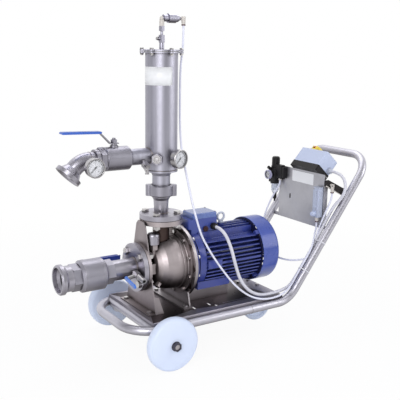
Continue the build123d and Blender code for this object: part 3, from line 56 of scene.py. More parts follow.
MID_X = (REAR_BEND_X + HANDLE_SLOPE * math.cos(HANDLE_RISE) + TUBE_R + COUPLING_END) / 2


def at(x, y, z):
    """Drawing millimetres to a point in the frame."""
    return Vector(((x - MID_X) / 1000, y / 1000, z / 1000))


# Camera
SENSOR = 36
FOCAL_PIXELS = 698.143
PICTURE_PIXELS = 400
CAMERA_PLACE = (-1299.76, -2250.64, 1136.99)
CAMERA_TURN = (-33.27, -12.26, 0.92)


def make_camera():
    yaw, pitch, roll = (math.radians(turn) for turn in CAMERA_TURN)
    back = Vector((math.sin(yaw) * math.cos(-pitch), -math.cos(yaw) * math.cos(-pitch), math.sin(-pitch)))
    right = Vector((math.cos(yaw), math.sin(yaw), 0))
    up = back.cross(right)
    turned_right = math.cos(roll) * right + math.sin(roll) * up
    turned_up = -math.sin(roll) * right + math.cos(roll) * up
    data = bpy.data.cameras.new("camera")
    data.sensor_width = SENSOR
    data.lens = SENSOR * FOCAL_PIXELS / PICTURE_PIXELS
    data.clip_end = 60
    camera = bpy.data.objects.new("camera", data)
    place = at(*CAMERA_PLACE)
    camera.matrix_world = Matrix((
        (turned_right.x, turned_up.x, back.x, place.x),
        (turned_right.y, turned_up.y, back.y, place.y),
        (turned_right.z, turned_up.z, back.z, place.z),
        (0, 0, 0, 1),
    ))
    bpy.context.scene.collection.objects.link(camera)
    bpy.context.scene.camera = camera


make_camera()


# Materials
class Look:
    """Small helper that builds one procedural material."""

    def __init__(self, name):
        self.material = bpy.data.materials.new(name)
        self.material.use_nodes = True
        self.tree = self.material.node_tree
        self.shader = self.tree.nodes["Principled BSDF"]
        self.coords = self.tree.nodes.new("ShaderNodeTexCoord").outputs["Object"]

    def add(self, kind, **values):
        node = self.tree.nodes.new(kind)
        for key, value in values.items():
            setattr(node, key, value)
        return node

    def link(self, source, target):
        self.tree.links.new(source, target)

    def set(self, **values):
        for key, value in values.items():
            self.shader.inputs[key.replace("_", " ")].default_value = value
        return self

    def noise(self, scale, detail, stretch=(1, 1, 1), rough=0.55, shift=(0, 0, 0)):
        mapping = self.add("ShaderNodeMapping")
        mapping.inputs["Scale"].default_value = stretch
        mapping.inputs["Location"].default_value = shift
        self.link(self.coords, mapping.inputs["Vector"])
        node = self.add("ShaderNodeTexNoise")
        node.inputs["Scale"].default_value = scale
        node.inputs["Detail"].default_value = detail
        node.inputs["Roughness"].default_value = rough
        self.link(mapping.outputs["Vector"], node.inputs["Vector"])
        return node.outputs["Fac"]

    def span(self, value, low, high, out_low, out_high):
        node = self.add("ShaderNodeMapRange")
        for key, number in (("From Min", low), ("From Max", high), ("To Min", out_low), ("To Max", out_high)):
            node.inputs[key].default_value = number
        self.link(value, node.inputs["Value"])
        return node.outputs["Result"]

    def ramp(self, value, *stops):
        node = self.add("ShaderNodeValToRGB")
        band = node.color_ramp
        while len(band.elements) < len(stops):
            band.elements.new(0.5)
        for element, (position, colour) in zip(band.elements, stops):
            element.position = position
            element.color = (*colour, 1)
        self.link(value, node.inputs["Fac"])
        return node.outputs["Color"]

    def mix(self, factor, first, second, blend="MIX"):
        node = self.add("ShaderNodeMix", data_type="RGBA", blend_type=blend)
        for socket, value in ((node.inputs[0], factor), (node.inputs[6], first), (node.inputs[7], second)):
            if isinstance(value, (int, float)):
                socket.default_value = value
            elif isinstance(value, tuple):
                socket.default_value = (*value, 1)
            else:
                self.link(value, socket)
        return node.outputs[2]

    def hollows(self, reach, low, high):
        """Share of open air, for dirt and painted shade in corners and gaps: 1 in the open, 0 in a hollow."""
        node = self.add("ShaderNodeAmbientOcclusion", samples=16)
        node.inputs["Distance"].default_value = reach
        return self.span(node.outputs["AO"], low, high, 0.0, 1.0)

    def facing_down(self, low, high, amount):
        """Share that grows where a surface looks at the floor, for painted shade on undersides."""
        geometry = self.add("ShaderNodeNewGeometry")
        split = self.add("ShaderNodeSeparateXYZ")
        self.link(geometry.outputs["Normal"], split.inputs[0])
        return self.span(split.outputs["Z"], low, high, amount, 0.0)

    def colour(self, socket):
        self.link(socket, self.shader.inputs["Base Color"])
        return self

    def roughness(self, socket):
        self.link(socket, self.shader.inputs["Roughness"])
        return self

    def bump(self, height, strength, distance):
        node = self.add("ShaderNodeBump")
        node.inputs["Strength"].default_value = strength
        node.inputs["Distance"].default_value = distance
        self.link(height, node.inputs["Height"])
        self.link(node.outputs["Normal"], self.shader.inputs["Normal"])
        return self


def shade(colour, factor):
    return tuple(min(1.0, c * factor) for c in colour)


# Dark brown used for painted shade on undersides, and for dirt and painted shade in hollows.
DIRT_AND_SHADE_BROWN = (0.030, 0.020, 0.016)


def metal(name, colour, rough, stretch=(1, 1, 1), grain=320, brush=0.12, reach=0.02, dirt_and_shade=0.75, blotch=0.12,
          under=0.72, wide_scale=9, wide_stretch=(1, 1, 1)):
    """Bare metal: drawn or brushed grain, faint handling marks, dirt and painted shade in the corners, and painted
    shade on faces that look down.
    """
    look = Look(name).set(Metallic=1.0)
    fine = look.noise(grain, 3, stretch, 0.6)
    wide = look.noise(wide_scale, 3, wide_stretch, 0.5, (3.1, 0.7, 1.9))
    marks = look.noise(55, 5, (1, 1, 1), 0.65, (1.3, 2.2, 0.4))
    tone = look.ramp(wide, (0.32, shade(colour, 1 - blotch)), (0.68, shade(colour, 1 + blotch)))
    tone = look.mix(look.span(fine, 0.3, 0.7, 0.0, 0.10), tone, shade(colour, 0.72))
    open_air = look.hollows(reach, 0.25, 0.9)
    # Painted shade: faces that look down are darkened towards dark brown.
    tone = look.mix(look.facing_down(-0.75, 0.30, under), tone, DIRT_AND_SHADE_BROWN)
    # Dirt and painted shade: hollows and gaps are darkened towards dark brown.
    tone = look.mix(look.span(open_air, 0, 1, dirt_and_shade, 0.0), tone, DIRT_AND_SHADE_BROWN)
    look.colour(tone)
    look.roughness(look.span(marks, 0.35, 0.7, rough * 0.9, rough * 1.15))
    return look.bump(fine, brush, 0.0002).material


def paint(name, colour, rough, coat=0.0, reach=0.012, dirt_and_shade=0.45, grain=260, bump=0.03, fade=0.08, shine=0.5):
    """Moulded or painted surface with a faint texture, a little fading, and dirt and painted shade in the corners."""
    look = Look(name).set(Metallic=0.0)
    look.set(Coat_Weight=coat, Coat_Roughness=0.12, Specular_IOR_Level=shine)
    wide = look.noise(14, 4, (1, 1, 1), 0.55, (0.6, 1.7, 2.4))
    fine = look.noise(grain, 3)
    tone = look.ramp(wide, (0.3, shade(colour, 1 - fade)), (0.7, shade(colour, 1 + fade)))
    dark = look.hollows(reach, 0.2, 0.9)
    # Dirt and painted shade: hollows and gaps are darkened.
    tone = look.mix(look.span(dark, 0, 1, dirt_and_shade, 0.0), tone, shade(colour, 0.3))
    look.colour(tone)
    look.roughness(look.span(wide, 0.3, 0.7, rough * 0.75, rough * 1.25))
    return look.bump(fine, bump, 0.0003).material


def clear(name, colour, rough, transmission, alpha=1.0):
    """Clear plastic or glass with a faint haze; a thin pane is drawn by its alpha instead of its transmission."""
    look = Look(name).set(Metallic=0.0, IOR=1.49, Transmission_Weight=transmission, Alpha=alpha)
    haze = look.noise(40, 4)
    look.colour(look.ramp(haze, (0.3, shade(colour, 0.97)), (0.7, colour)))
    look.roughness(look.span(haze, 0.3, 0.7, rough, rough * 2.2))
    return look.material


along_x = (0.04, 1, 1)
along_y = (1, 0.04, 1)
along_z = (1, 1, 0.04)
tube_steel = metal("tube_steel", (0.60, 0.59, 0.66), 0.42, grain=260, brush=0.0, blotch=0.05)
sheet_steel = metal("sheet_steel", (0.42, 0.40, 0.46), 0.42, along_y, 420, 0.05, under=0.5)
panel_steel = metal("panel_steel", (0.60, 0.60, 0.65), 0.46, along_z, 420, 0.05, dirt_and_shade=0.5, blotch=0.06)
bowl_steel = metal("bowl_steel", (0.60, 0.535, 0.545), 0.46, (0.15, 1, 1), 300, 0.015, reach=0.05, dirt_and_shade=0.95,
                   blotch=0.05, under=0.95)
rim_steel = metal("rim_steel", (0.48, 0.445, 0.46), 0.36, grain=300, brush=0.02, under=0.9)
# The column's vertical light and dark streaks are partly brushing and partly painted reflection bands.
column_steel = metal("column_steel", (0.52, 0.515, 0.60), 0.46, (1, 1, 3.0), 330, 0.0, blotch=0.16,
                     wide_scale=45, wide_stretch=(1, 1, 0.01))
cast_steel = metal("cast_steel", (0.43, 0.42, 0.485), 0.42, grain=480, brush=0.10, blotch=0.10)
turned_steel = metal("turned_steel", (0.49, 0.475, 0.54), 0.36, along_x, 500, 0.02, blotch=0.08)
bracket_steel = metal("bracket_steel", (0.42, 0.375, 0.39), 0.42, along_z, 380, 0.04)
foot_steel = metal("foot_steel", (0.45, 0.42, 0.44), 0.42, along_y, 380, 0.04)
bolt_steel = metal("bolt_steel", (0.66, 0.64, 0.64), 0.28, grain=600, brush=0.04, reach=0.008)
zinc_steel = metal("zinc_steel", (0.55, 0.52, 0.54), 0.36, grain=300, brush=0.04)
ball_chrome = metal("ball_chrome", (0.72, 0.71, 0.72), 0.12, grain=300, brush=0.0)
plated = metal("plated_fitting", (0.56, 0.545, 0.56), 0.30, grain=500, brush=0.02, reach=0.008, blotch=0.06)
weld_steel = metal("weld_steel", (0.34, 0.30, 0.30), 0.40, grain=700, brush=0.3, reach=0.01)
# Dark brown steel that stands for painted shade.
painted_shade_steel = metal("painted_shade_steel", (0.085, 0.060, 0.055), 0.45, grain=300, brush=0.05)
plate_shadow = metal("plate_shadow", (0.085, 0.065, 0.075), 0.30, along_y, 420, 0.05)
valve_steel = metal("valve_steel", (0.60, 0.59, 0.70), 0.40, brush=0.0, reach=0.008, blotch=0.04, under=0.9)
motor_blue = paint("motor_blue", (0.034, 0.052, 0.27), 0.30, coat=0.3, reach=0.03, dirt_and_shade=0.9)
# Near-black blue: painted shade in the gap before the fan cover.
gap_shade_blue = paint("gap_shade_blue", (0.006, 0.007, 0.040), 0.5, dirt_and_shade=0.6, shine=0.2)
cover_blue = paint("cover_blue", (0.046, 0.082, 0.37), 0.30, coat=0.35, reach=0.015, dirt_and_shade=0.6)
box_blue = paint("box_blue", (0.036, 0.060, 0.29), 0.32, coat=0.3, dirt_and_shade=0.5)
# The terminal lid's blue is the box's blue made lighter: a painted highlight on its lit top.
lit_lid_blue = paint("lit_lid_blue", (0.095, 0.150, 0.40), 0.24, coat=0.5)
eye_enamel = paint("eye_enamel", (0.50, 0.53, 0.62), 0.32, coat=0.2)
nylon = paint("wheel_nylon", (0.70, 0.775, 0.95), 0.40, dirt_and_shade=0.16, reach=0.02, grain=180, bump=0.04, fade=0.02)
black_nylon = paint("black_nylon", (0.012, 0.011, 0.012), 0.42, dirt_and_shade=0.3, shine=0.25)
rubber_ring = paint("rubber_ring", (0.055, 0.052, 0.070), 0.5, dirt_and_shade=0.2, shine=0.3)
black_strut = paint("black_strut", (0.020, 0.017, 0.017), 0.5, dirt_and_shade=0.3, shine=0.25)
grey_cover = paint("grey_cover", (0.52, 0.58, 0.76), 0.42, dirt_and_shade=0.3, fade=0.03)
grey_gland = paint("grey_gland", (0.50, 0.53, 0.62), 0.42, dirt_and_shade=0.4)
yellow = paint("yellow_guard", (0.86, 0.68, 0.10), 0.4, dirt_and_shade=0.35)
red = paint("red_button", (0.55, 0.02, 0.02), 0.25, coat=0.4)
ivory = paint("ivory_fitting", (0.62, 0.58, 0.54), 0.36, dirt_and_shade=0.5)
ring_red = paint("ring_red", (0.060, 0.008, 0.018), 0.35, dirt_and_shade=0.3)
sleeve_blue = paint("sleeve_blue", (0.035, 0.115, 0.50), 0.34, coat=0.25, dirt_and_shade=0.3)
sleeve_dark = paint("sleeve_dark", (0.020, 0.045, 0.30), 0.34, coat=0.25, dirt_and_shade=0.3)
lever_blue = paint("lever_blue", (0.035, 0.16, 0.62), 0.34, coat=0.25)
seal_white = paint("seal_white", (0.75, 0.74, 0.70), 0.45)
needle_black = paint("needle_black", (0.015, 0.015, 0.015), 0.4)
dial_white = paint("dial_white", (0.80, 0.80, 0.83), 0.5, fade=0.02, dirt_and_shade=0.2)
bezel_violet = paint("bezel_violet", (0.44, 0.43, 0.60), 0.4, dirt_and_shade=0.2)
plug_brown = paint("plug_brown", (0.040, 0.012, 0.012), 0.45, dirt_and_shade=0.3, shine=0.3)
tie_white = paint("tie_white", (0.70, 0.70, 0.76), 0.45, dirt_and_shade=0.3)
plate_white = paint("plate_white", (0.84, 0.845, 0.86), 0.32, coat=0.3, fade=0.02, dirt_and_shade=0.2)
jacket = paint("cable_jacket", (0.68, 0.675, 0.745), 0.44, dirt_and_shade=0.4, grain=500, bump=0.08, fade=0.05)
hose_white = paint("hose_white", (0.76, 0.77, 0.90), 0.26, coat=0.2, dirt_and_shade=0.25, fade=0.04)
acrylic = clear("acrylic", (0.66, 0.72, 0.90), 0.10, 0.35)
bowl_clear = clear("bowl_clear", (0.82, 0.86, 0.95), 0.12, 0.6)
gauge_glass = clear("gauge_glass", (0.95, 0.97, 1.0), 0.03, 0.0, alpha=0.06)

LOOKS = {
    "front_loop": tube_steel, "handle_loop": tube_steel, "base_plate": sheet_steel, "front_axle": zinc_steel,
    "front_wheel_near": nylon, "front_wheel_far": nylon, "caster_plate": zinc_steel, "caster_fork": zinc_steel,
    "caster_wheel": nylon, "pump_casing": bowl_steel, "pipe_plugs": turned_steel, "motor_adapter": rim_steel,
    "seals": seal_white, "hex_bolts": bolt_steel, "flange_bolts": bolt_steel, "pump_rotor": turned_steel,
    "motor_frame": motor_blue, "fan_cover": cover_blue, "terminal_box": box_blue, "terminal_lid": lit_lid_blue,
    "cable_glands": black_nylon, "eye_bolt": eye_enamel, "suction_bracket": bracket_steel,
    "pump_supports": foot_steel, "counter_flanges": turned_steel, "suction_valve_body": cast_steel,
    "suction_ball": ball_chrome, "suction_lever": sleeve_dark, "hose_coupling": turned_steel,
    "drain_cocks": plated, "drain_lever": lever_blue, "sample_lever": plated,
    "union_nut": cast_steel, "column_shell": column_steel, "column_lid": column_steel,
    "air_injector": valve_steel, "top_valve_knob": plated, "push_fittings": ivory,
    "branch_valve_body": cast_steel, "branch_ball": ball_chrome, "branch_lever": sleeve_blue,
    "outlet_elbow": turned_steel, "gauges": plated, "column_needle": needle_black,
    "outlet_needle": needle_black, "panel": panel_steel, "panel_strut": black_strut,
    "starter_base": black_nylon, "starter_cover": grey_cover, "estop_guard": yellow, "estop_button": red,
    "flow_meter": acrylic, "meter_float": bolt_steel, "meter_knob": grey_cover,
    "regulator_body": black_nylon, "regulator_bowl": bowl_clear, "regulator_knob": black_nylon,
}
for name, look in LOOKS.items():
    mesh = nodes[name].data
    mesh.materials.clear()
    mesh.materials.append(look)
    mesh.polygons.foreach_set("material_index", [0] * len(mesh.polygons))


def paint_faces(name, look, test):
    """Another look for the faces of a node whose centre, in drawing millimetres, and normal pass the test."""
    mesh = nodes[name].data
    mesh.materials.append(look)
    slot = len(mesh.materials) - 1
    for face in mesh.polygons:
        place = face.center * 1000
        if test(Vector((place.x + MID_X, place.y, place.z)), face.normal):
            face.material_index = slot


def from_axis(point, origin, direction):
    """Distance from an axis, and the distance along it, both in drawing millimetres."""
    way = Vector(direction).normalized()
    out = point - Vector(origin)
    along = out.dot(way)
    return (out - way * along).length, along


# Axes of the upright push-in fittings, as x and y
TOP_FITTING = (92, 0)
METER_FITTING = (686, -125)
STRUT_FITTING = (728.1, -164.6)

# How far the column's gauge and sight plug start from its axis
BOSS_REACH = 78

# Gauges: where each case starts, which way it looks, its dial's radius and how far out the dial lies
COLUMN_TURN = math.radians(-75)
COLUMN_WAY = (math.cos(COLUMN_TURN), math.sin(COLUMN_TURN), 0)
COLUMN_GAUGE = ((BOSS_REACH * COLUMN_WAY[0], BOSS_REACH * COLUMN_WAY[1], 739), COLUMN_WAY, 31.0, 18.0)
OUTLET_GAUGE = ((-305, -59, 729), (0, -1, 0), 30.5, 18.0)
REGULATOR_GAUGE = ((664, 172, 587), (-1, 0, 0), 16.5, 6.0)
GLASS_ABOVE = 4.0


def paint_gauge(origin, way, dial_r, dial_depth):
    """White dial, and a clear pane in front of it."""
    def on_dial(point, normal):
        out, along = from_axis(point, origin, way)
        return out < dial_r - 0.5 and abs(along - dial_depth) < 0.3 and normal.dot(Vector(way)) > 0.9

    def on_glass(point, normal):
        out, along = from_axis(point, origin, way)
        return out < dial_r + 0.1 and along > dial_depth + GLASS_ABOVE and abs(normal.dot(Vector(way))) > 0.5

    paint_faces("gauges", dial_white, on_dial)
    paint_faces("gauges", gauge_glass, on_glass)


for gauge in (COLUMN_GAUGE, OUTLET_GAUGE, REGULATOR_GAUGE):
    paint_gauge(*gauge)

# The violet edge of the small gauge
paint_faces("gauges", bezel_violet, lambda p, n: 640 < p.x < 664 and p.y > 140
            and from_axis(p, *REGULATOR_GAUGE[:2])[0] > 16.8)
# Bare metal of the levers outside their sleeves
paint_faces("branch_lever", cast_steel, lambda p, n: p.x > -246)
paint_faces("suction_lever", turned_steel, lambda p, n: p.x < -242)
# The drain under the clear bowl
paint_faces("regulator_bowl", black_nylon, lambda p, n: p.z < 502)
# The fan behind the grille
paint_faces("pump_rotor", motor_blue, lambda p, n: p.x > 390)
# The blank plug, and the starter's gland
paint_faces("cable_glands", plug_brown, lambda p, n: p.x < 196)
paint_faces("cable_glands", grey_gland, lambda p, n: p.x > 600)
# Painted shade: the adapter's front behind the bowl, and the casing's neck, get a dark brown steel
paint_faces("motor_adapter", painted_shade_steel, lambda p, n: n.x < -0.5 and (p.yz - Vector((0, SHAFT_Z))).length < 132)
paint_faces("pump_casing", painted_shade_steel, lambda p, n: 372 < p.z < 484.3 and p.xy.length < 37)
# Rubber washers round the axle's ends
paint_faces("front_axle", rubber_ring,
            lambda p, n: abs(p.y) > 272 and (p.xz - Vector((AXLE_X, AXLE_Z))).length > 9.9)
# Push-in elbows on the strut and under the regulator
paint_faces("panel_strut", ivory, lambda p, n: (p.xy - Vector(STRUT_FITTING)).length < 8.2 and 554 < p.z < 595)
paint_faces("regulator_body", ivory, lambda p, n: p.z < 573.9 and p.y < 140)
# The plate under the motor, which lies in its shade
paint_faces("base_plate", plate_shadow, lambda p, n: n.z > 0.9 and -70 < p.x < 330 and abs(p.y) < 150)


# Cable and hoses
SLOPE_DIR = Vector((math.cos(HANDLE_RISE), 0, math.sin(HANDLE_RISE)))
SLOPE_UP = Vector((-math.sin(HANDLE_RISE), 0, math.cos(HANDLE_RISE)))


def on_slope(along, up, y):
    """Drawing point beside the near handle tube, measured along it and above it."""
    point = Vector((REAR_BEND_X, 0, RAIL_HEIGHT)) + SLOPE_DIR * along + SLOPE_UP * up
    return (point.x, y, point.z)


POWER_ROUTE = [
    (211, -67, 453), (211, -95, 453), (224, -118, 429), (240, -136, 372), (252, -146, 310), (270, -156, 248),
    (305, -166, 202), (352, -171, 178), (408, -170, 172), (464, -166, 173), (512, -164, 182),
    on_slope(88, 6, -164), on_slope(170, 6, -164), on_slope(258, 7, -164), on_slope(335, 10, -163),
    (716, -164, 460), (737, -174, 505), (749, -198, 535), (757, -212, 572), (760, -204, 613),
    (758.5, -168, 637.7), (758.5, -126, 637.7),
]
AIR_ROUTE = [
    (92, 0, 1218), (92, 0, 1165), (86, -2, 1112), (77, -4, 1060), (73, -12, 800), (77, -46, 694),
    (82, -86, 580), (92, -103, 515), (107, -120, 444), (130, -136, 392), (160, -147, 341), (194, -156, 292),
    (226, -166, 249), (262, -179, 212), (308, -189, 181), (362, -192, 164), (420, -191, 161), (466, -187, 167),
    (508, -182, 190), on_slope(84, 20, -180), on_slope(160, 20, -179), on_slope(235, 21, -179),
    (644, -160, 372), (670, -136, 388), (686, -125, 400), (686, -125, 428),
]
PILOT_ROUTE = [
    (689, 128, 566), (689, 128, 546), (664, 129, 516), (632, 128, 470), (600, 122, 412), (574, 104, 350),
    (560, 68, 300), (557, 18, 273), (560, -39, 266), (568, -90, 268), (588, -132, 276),
    on_slope(200, -9, -163), on_slope(262, -6, -162), on_slope(310, 8, -148), (699, -151, 452),
    (718, -158, 500), (728.1, -164.6, 534.1), (728.1, -164.6, 556.1),
]


def make_cord(name, route, diameter, look, node):
    curve = bpy.data.curves.new(name, "CURVE")
    curve.dimensions = "3D"
    curve.bevel_depth = diameter / 2000
    curve.bevel_resolution = 5
    curve.use_fill_caps = True
    curve.resolution_u = 8
    spline = curve.splines.new("NURBS")
    spline.points.add(len(route) - 1)
    for point, place in zip(spline.points, route):
        point.co = (*at(*place), 1)
    spline.order_u = 3
    spline.use_endpoint_u = True
    curve.materials.append(look)
    cord = bpy.data.objects.new(name, curve)
    bpy.context.scene.collection.objects.link(cord)
    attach(cord, "trolley")
    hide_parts(node)


make_cord("motor_lead", POWER_ROUTE, 13.0, jacket, "power_cable")
make_cord("air_line", AIR_ROUTE, 8.0, hose_white, "air_hose")
make_cord("pilot_line", PILOT_ROUTE, 8.0, hose_white, "pilot_hose")


# Mesh helpers
def new_piece(name, mesh, look, body="trolley", smooth=True):
    mesh.materials.append(look)
    if smooth:
        mesh.polygons.foreach_set("use_smooth", [True] * len(mesh.polygons))
        mesh.set_sharp_from_angle(angle=math.radians(32))
    piece = bpy.data.objects.new(name, mesh)
    bpy.context.scene.collection.objects.link(piece)
    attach(piece, body)
    return piece


def axes(direction):
    """Right, up and normal vectors about a direction."""
    normal = Vector(direction).normalized()
    side = Vector((0, 0, 1)) if abs(normal.z) < 0.9 else Vector((1, 0, 0))
    right = (side - normal * normal.dot(side)).normalized()
    return right, normal.cross(right), normal


def lathe(name, origin, direction, outline, look, steps, body="trolley"):
    """Turned mesh: outline is (radius, height) in millimetres about the direction at the origin."""
    right, up, normal = axes(direction)
    mesh = bpy.data.meshes.new(name)
    verts, faces = [], []
    rows = len(outline)
    for k in range(steps):
        turn = 2 * math.pi * k / steps
        way = right * math.cos(turn) + up * math.sin(turn)
        for radius, height in outline:
            verts.append(origin + way * (radius / 1000) + normal * (height / 1000))
    for k in range(steps):
        other = (k + 1) % steps
        for row in range(rows - 1):
            faces.append((k * rows + row, other * rows + row, other * rows + row + 1, k * rows + row + 1))
    mesh.from_pydata([tuple(v) for v in verts], [], faces)
    build = bmesh.new()
    build.from_mesh(mesh)
    bmesh.ops.remove_doubles(build, verts=build.verts, dist=1e-7)
    bmesh.ops.recalc_face_normals(build, faces=build.faces)
    build.to_mesh(mesh)
    build.free()
    return new_piece(name, mesh, look, body)


# Small details
def band(name, centre, direction, radius, half, rise, look, slot=None):
    """Closed ring that stands proud of a round surface."""
    outline = [(radius - 0.4, -half), (radius + rise * 0.6, -half), (radius + rise, -half * 0.5),
               (radius + rise, half * 0.5), (radius + rise * 0.6, half), (radius - 0.4, half), (radius - 0.4, -half)]
    lathe(name, at(*centre), direction, outline, look, 56)


def circle_points(centre, direction, radius, steps):
    """Points round a circle, in drawing millimetres."""
    right, up, normal = axes(direction)
    turns = [2 * math.pi * k / steps for k in range(steps)]
    return [Vector(centre) + right * (radius * math.cos(t)) + up * (radius * math.sin(t)) for t in turns]


def bead(name, points, radius):
    """Rippled weld bead along a closed line of drawing points."""
    places = [at(*point) for point in points]
    count, sides = len(places), 8
    verts, faces = [], []
    for k, place in enumerate(places):
        tangent = places[(k + 1) % count] - places[k - 1]
        right, up, normal = axes(tangent)
        size = radius / 1000 * (1 + 0.16 * math.sin(2.1 * k))
        for turn in (2 * math.pi * m / sides for m in range(sides)):
            verts.append(place + right * (size * math.cos(turn)) + up * (size * math.sin(turn)))
    # Neighbouring rings may start at different turns, so each is joined to the nearest start of the next
    for k in range(count):
        this, following = k * sides, ((k + 1) % count) * sides
        shift = min(range(sides), key=lambda m: (verts[this] - verts[following + m]).length)
        for m in range(sides):
            faces.append((this + m, this + (m + 1) % sides, following + (m + 1 + shift) % sides,
                          following + (m + shift) % sides))
    mesh = bpy.data.meshes.new(name)
    mesh.from_pydata([tuple(v) for v in verts], [], faces)
    new_piece(name, mesh, weld_steel)


def slab(name, centre, right, up, width, height, thick, corner, look):
    """Thin plate with round corners: the centre is on its back, in drawing millimetres."""
    right, up = Vector(right).normalized(), Vector(up).normalized()
    normal = right.cross(up)
    rim = []
    for sx, sy, start in ((1, 1, 0), (-1, 1, 90), (-1, -1, 180), (1, -1, 270)):
        for k in range(7):
            turn = math.radians(start + 15 * k)
            rim.append((sx * (width / 2 - corner) + corner * math.cos(turn),
                        sy * (height / 2 - corner) + corner * math.sin(turn)))
    lip = min(0.25, thick / 3)
    verts = []
    for inset, level in ((0, 0), (0, thick - lip), (lip, thick)):
        for x, y in rim:
            verts.append(at(*(Vector(centre) + right * (x - math.copysign(inset, x))
                              + up * (y - math.copysign(inset, y)) + normal * level)))
    count = len(rim)
    faces = [tuple(reversed(range(count))), tuple(range(2 * count, 3 * count))]
    for row in range(2):
        for k in range(count):
            other = (k + 1) % count
            faces.append((row * count + k, row * count + other, (row + 1) * count + other, (row + 1) * count + k))
    mesh = bpy.data.meshes.new(name)
    mesh.from_pydata([tuple(v) for v in verts], [], faces)
    new_piece(name, mesh, look, smooth=False)


def screw(name, place, direction, radius, look):
    """Round screw head with a socket in it."""
    outline = [(0.01, 0.9), (radius * 0.45, 0.9), (radius * 0.5, 2.0), (radius * 0.85, 1.9), (radius, 1.2),
               (radius, -0.3), (0.01, -0.3)]
    lathe(name, at(*place), direction, outline, look, 20)


def dial_print(name, origin, way, dial_r, dial_depth, majors, minors, numbers):
    """Strokes and numbers on a gauge dial, running clockwise from lower left to lower right."""
    first, sweep = -135, 270
    normal = Vector(way).normalized()
    up = Vector((0, 0, 1))
    right = up.cross(normal)
    face = Vector(origin) + normal * (dial_depth + 0.12)
    build = bmesh.new()

    def stroke(turn, inner, outer, width):
        ray = up * math.cos(turn) + right * math.sin(turn)
        side = normal.cross(ray) * (width / 2)
        corners = [face + ray * inner - side, face + ray * outer - side, face + ray * outer + side,
                   face + ray * inner + side]
        low = [build.verts.new(at(*c)) for c in corners]
        high = [build.verts.new(at(*(c + normal * 0.15))) for c in corners]
        build.faces.new(high)
        for k in range(4):
            build.faces.new((low[k], low[(k + 1) % 4], high[(k + 1) % 4], high[k]))

    steps = (majors - 1) * minors
    for k in range(steps + 1):
        major = k % minors == 0
        stroke(math.radians(first + sweep * k / steps), dial_r * (0.74 if major else 0.80), dial_r * 0.88,
               dial_r * (0.045 if major else 0.02))
    # The large dials carry a dark arc outside their strokes
    arc_steps = 72 if dial_r > 20 else 0
    for k in range(arc_steps):
        stroke(math.radians(first + sweep * (k + 0.5) / arc_steps), dial_r * 0.885, dial_r * 0.92, dial_r * 0.062)
    mesh = bpy.data.meshes.new(name)
    for text, share in numbers:
        curve = bpy.data.curves.new(name + "_" + text, "FONT")
        curve.body = text
        curve.size = dial_r * 0.3 / 1000
        curve.align_x = "CENTER"
        curve.align_y = "CENTER"
        holder = bpy.data.objects.new(curve.name, curve)
        bpy.context.scene.collection.objects.link(holder)
        turn = math.radians(first + sweep * share)
        spot = at(*(face + (up * math.cos(turn) + right * math.sin(turn)) * dial_r * 0.55 + normal * 0.1))
        holder.matrix_world = Matrix((
            (right.x, up.x, normal.x, spot.x), (right.y, up.y, normal.y, spot.y),
            (right.z, up.z, normal.z, spot.z), (0, 0, 0, 1)))
        bpy.context.view_layer.update()
        letters = bpy.data.meshes.new_from_object(holder.evaluated_get(bpy.context.evaluated_depsgraph_get()))
        letters.transform(holder.matrix_world)
        build.from_mesh(letters)
        bpy.data.objects.remove(holder)
        bpy.data.meshes.remove(letters)
    build.to_mesh(mesh)
    build.free()
    new_piece(name, mesh, needle_black, smooth=False)


DIAL_NUMBERS = (("0", 0.0), ("1", 0.25), ("2", 0.5), ("3", 0.75), ("4", 1.0))
dial_print("column_dial", *COLUMN_GAUGE, 9, 5, DIAL_NUMBERS)
dial_print("outlet_dial", *OUTLET_GAUGE, 9, 5, DIAL_NUMBERS)
dial_print("regulator_dial", *REGULATOR_GAUGE, 6, 2, ())
slab("regulator_hand", (657.8, 172, 587), (0, -0.8, 0.6), (0, 0.6, 0.8), 1.4, 15, 0.4, 0.6, needle_black)


def bezel(name, origin, way, dial_r, dial_depth):
    """Rolled steel edge round the front of a gauge case."""
    rim = dial_r + 4.0
    front = dial_depth + 8.0
    outline = [(rim - 0.3, front - 6), (rim + 0.5, front - 5.5), (rim + 0.6, front - 1.5), (rim - 0.6, front + 0.5),
               (dial_r + 1.2, front + 0.7), (dial_r + 0.1, front - 0.4), (dial_r + 0.4, front - 1.2),
               (rim - 0.3, front - 1.2), (rim - 0.3, front - 6)]
    lathe(name, at(*origin), way, outline, plated, 64)


bezel("column_bezel", *COLUMN_GAUGE)
bezel("outlet_bezel", *OUTLET_GAUGE)

# Weld beads
def saddle(turn):
    """Where the branch pipe meets the column."""
    y = (BRANCH_R + 0.6) * math.cos(turn)
    return (-math.sqrt(COLUMN_R ** 2 - y * y) - 0.4, y, BRANCH_Z + (BRANCH_R + 0.6) * math.sin(turn))


bead("branch_weld", [saddle(2 * math.pi * k / 72) for k in range(72)], 1.7)
bead("column_weld", circle_points((0, 0, 691.5), (0, 0, 1), COLUMN_R + 0.3, 110), 1.4)
bead("column_foot_weld", circle_points((0, 0, 689), (0, 0, 1), 34.6, 72), 1.4)
bead("neck_weld", circle_points((0, 0, 523.2), (0, 0, 1), 26.6, 60), 1.6)
bead("elbow_weld", circle_points((-294, 0, BRANCH_Z), (1, 0, 0), BRANCH_R + 0.1, 64), 1.2)
bead("stub_weld", circle_points((-121.4, 0, SHAFT_Z), (1, 0, 0), 38.6, 80), 1.9)
for side, label in ((-1, "near"), (1, "far")):
    bead("rail_weld_" + label, circle_points((300, side * RAIL_Y, RAIL_HEIGHT), (1, 0, 0), TUBE_R, 40), 0.8)


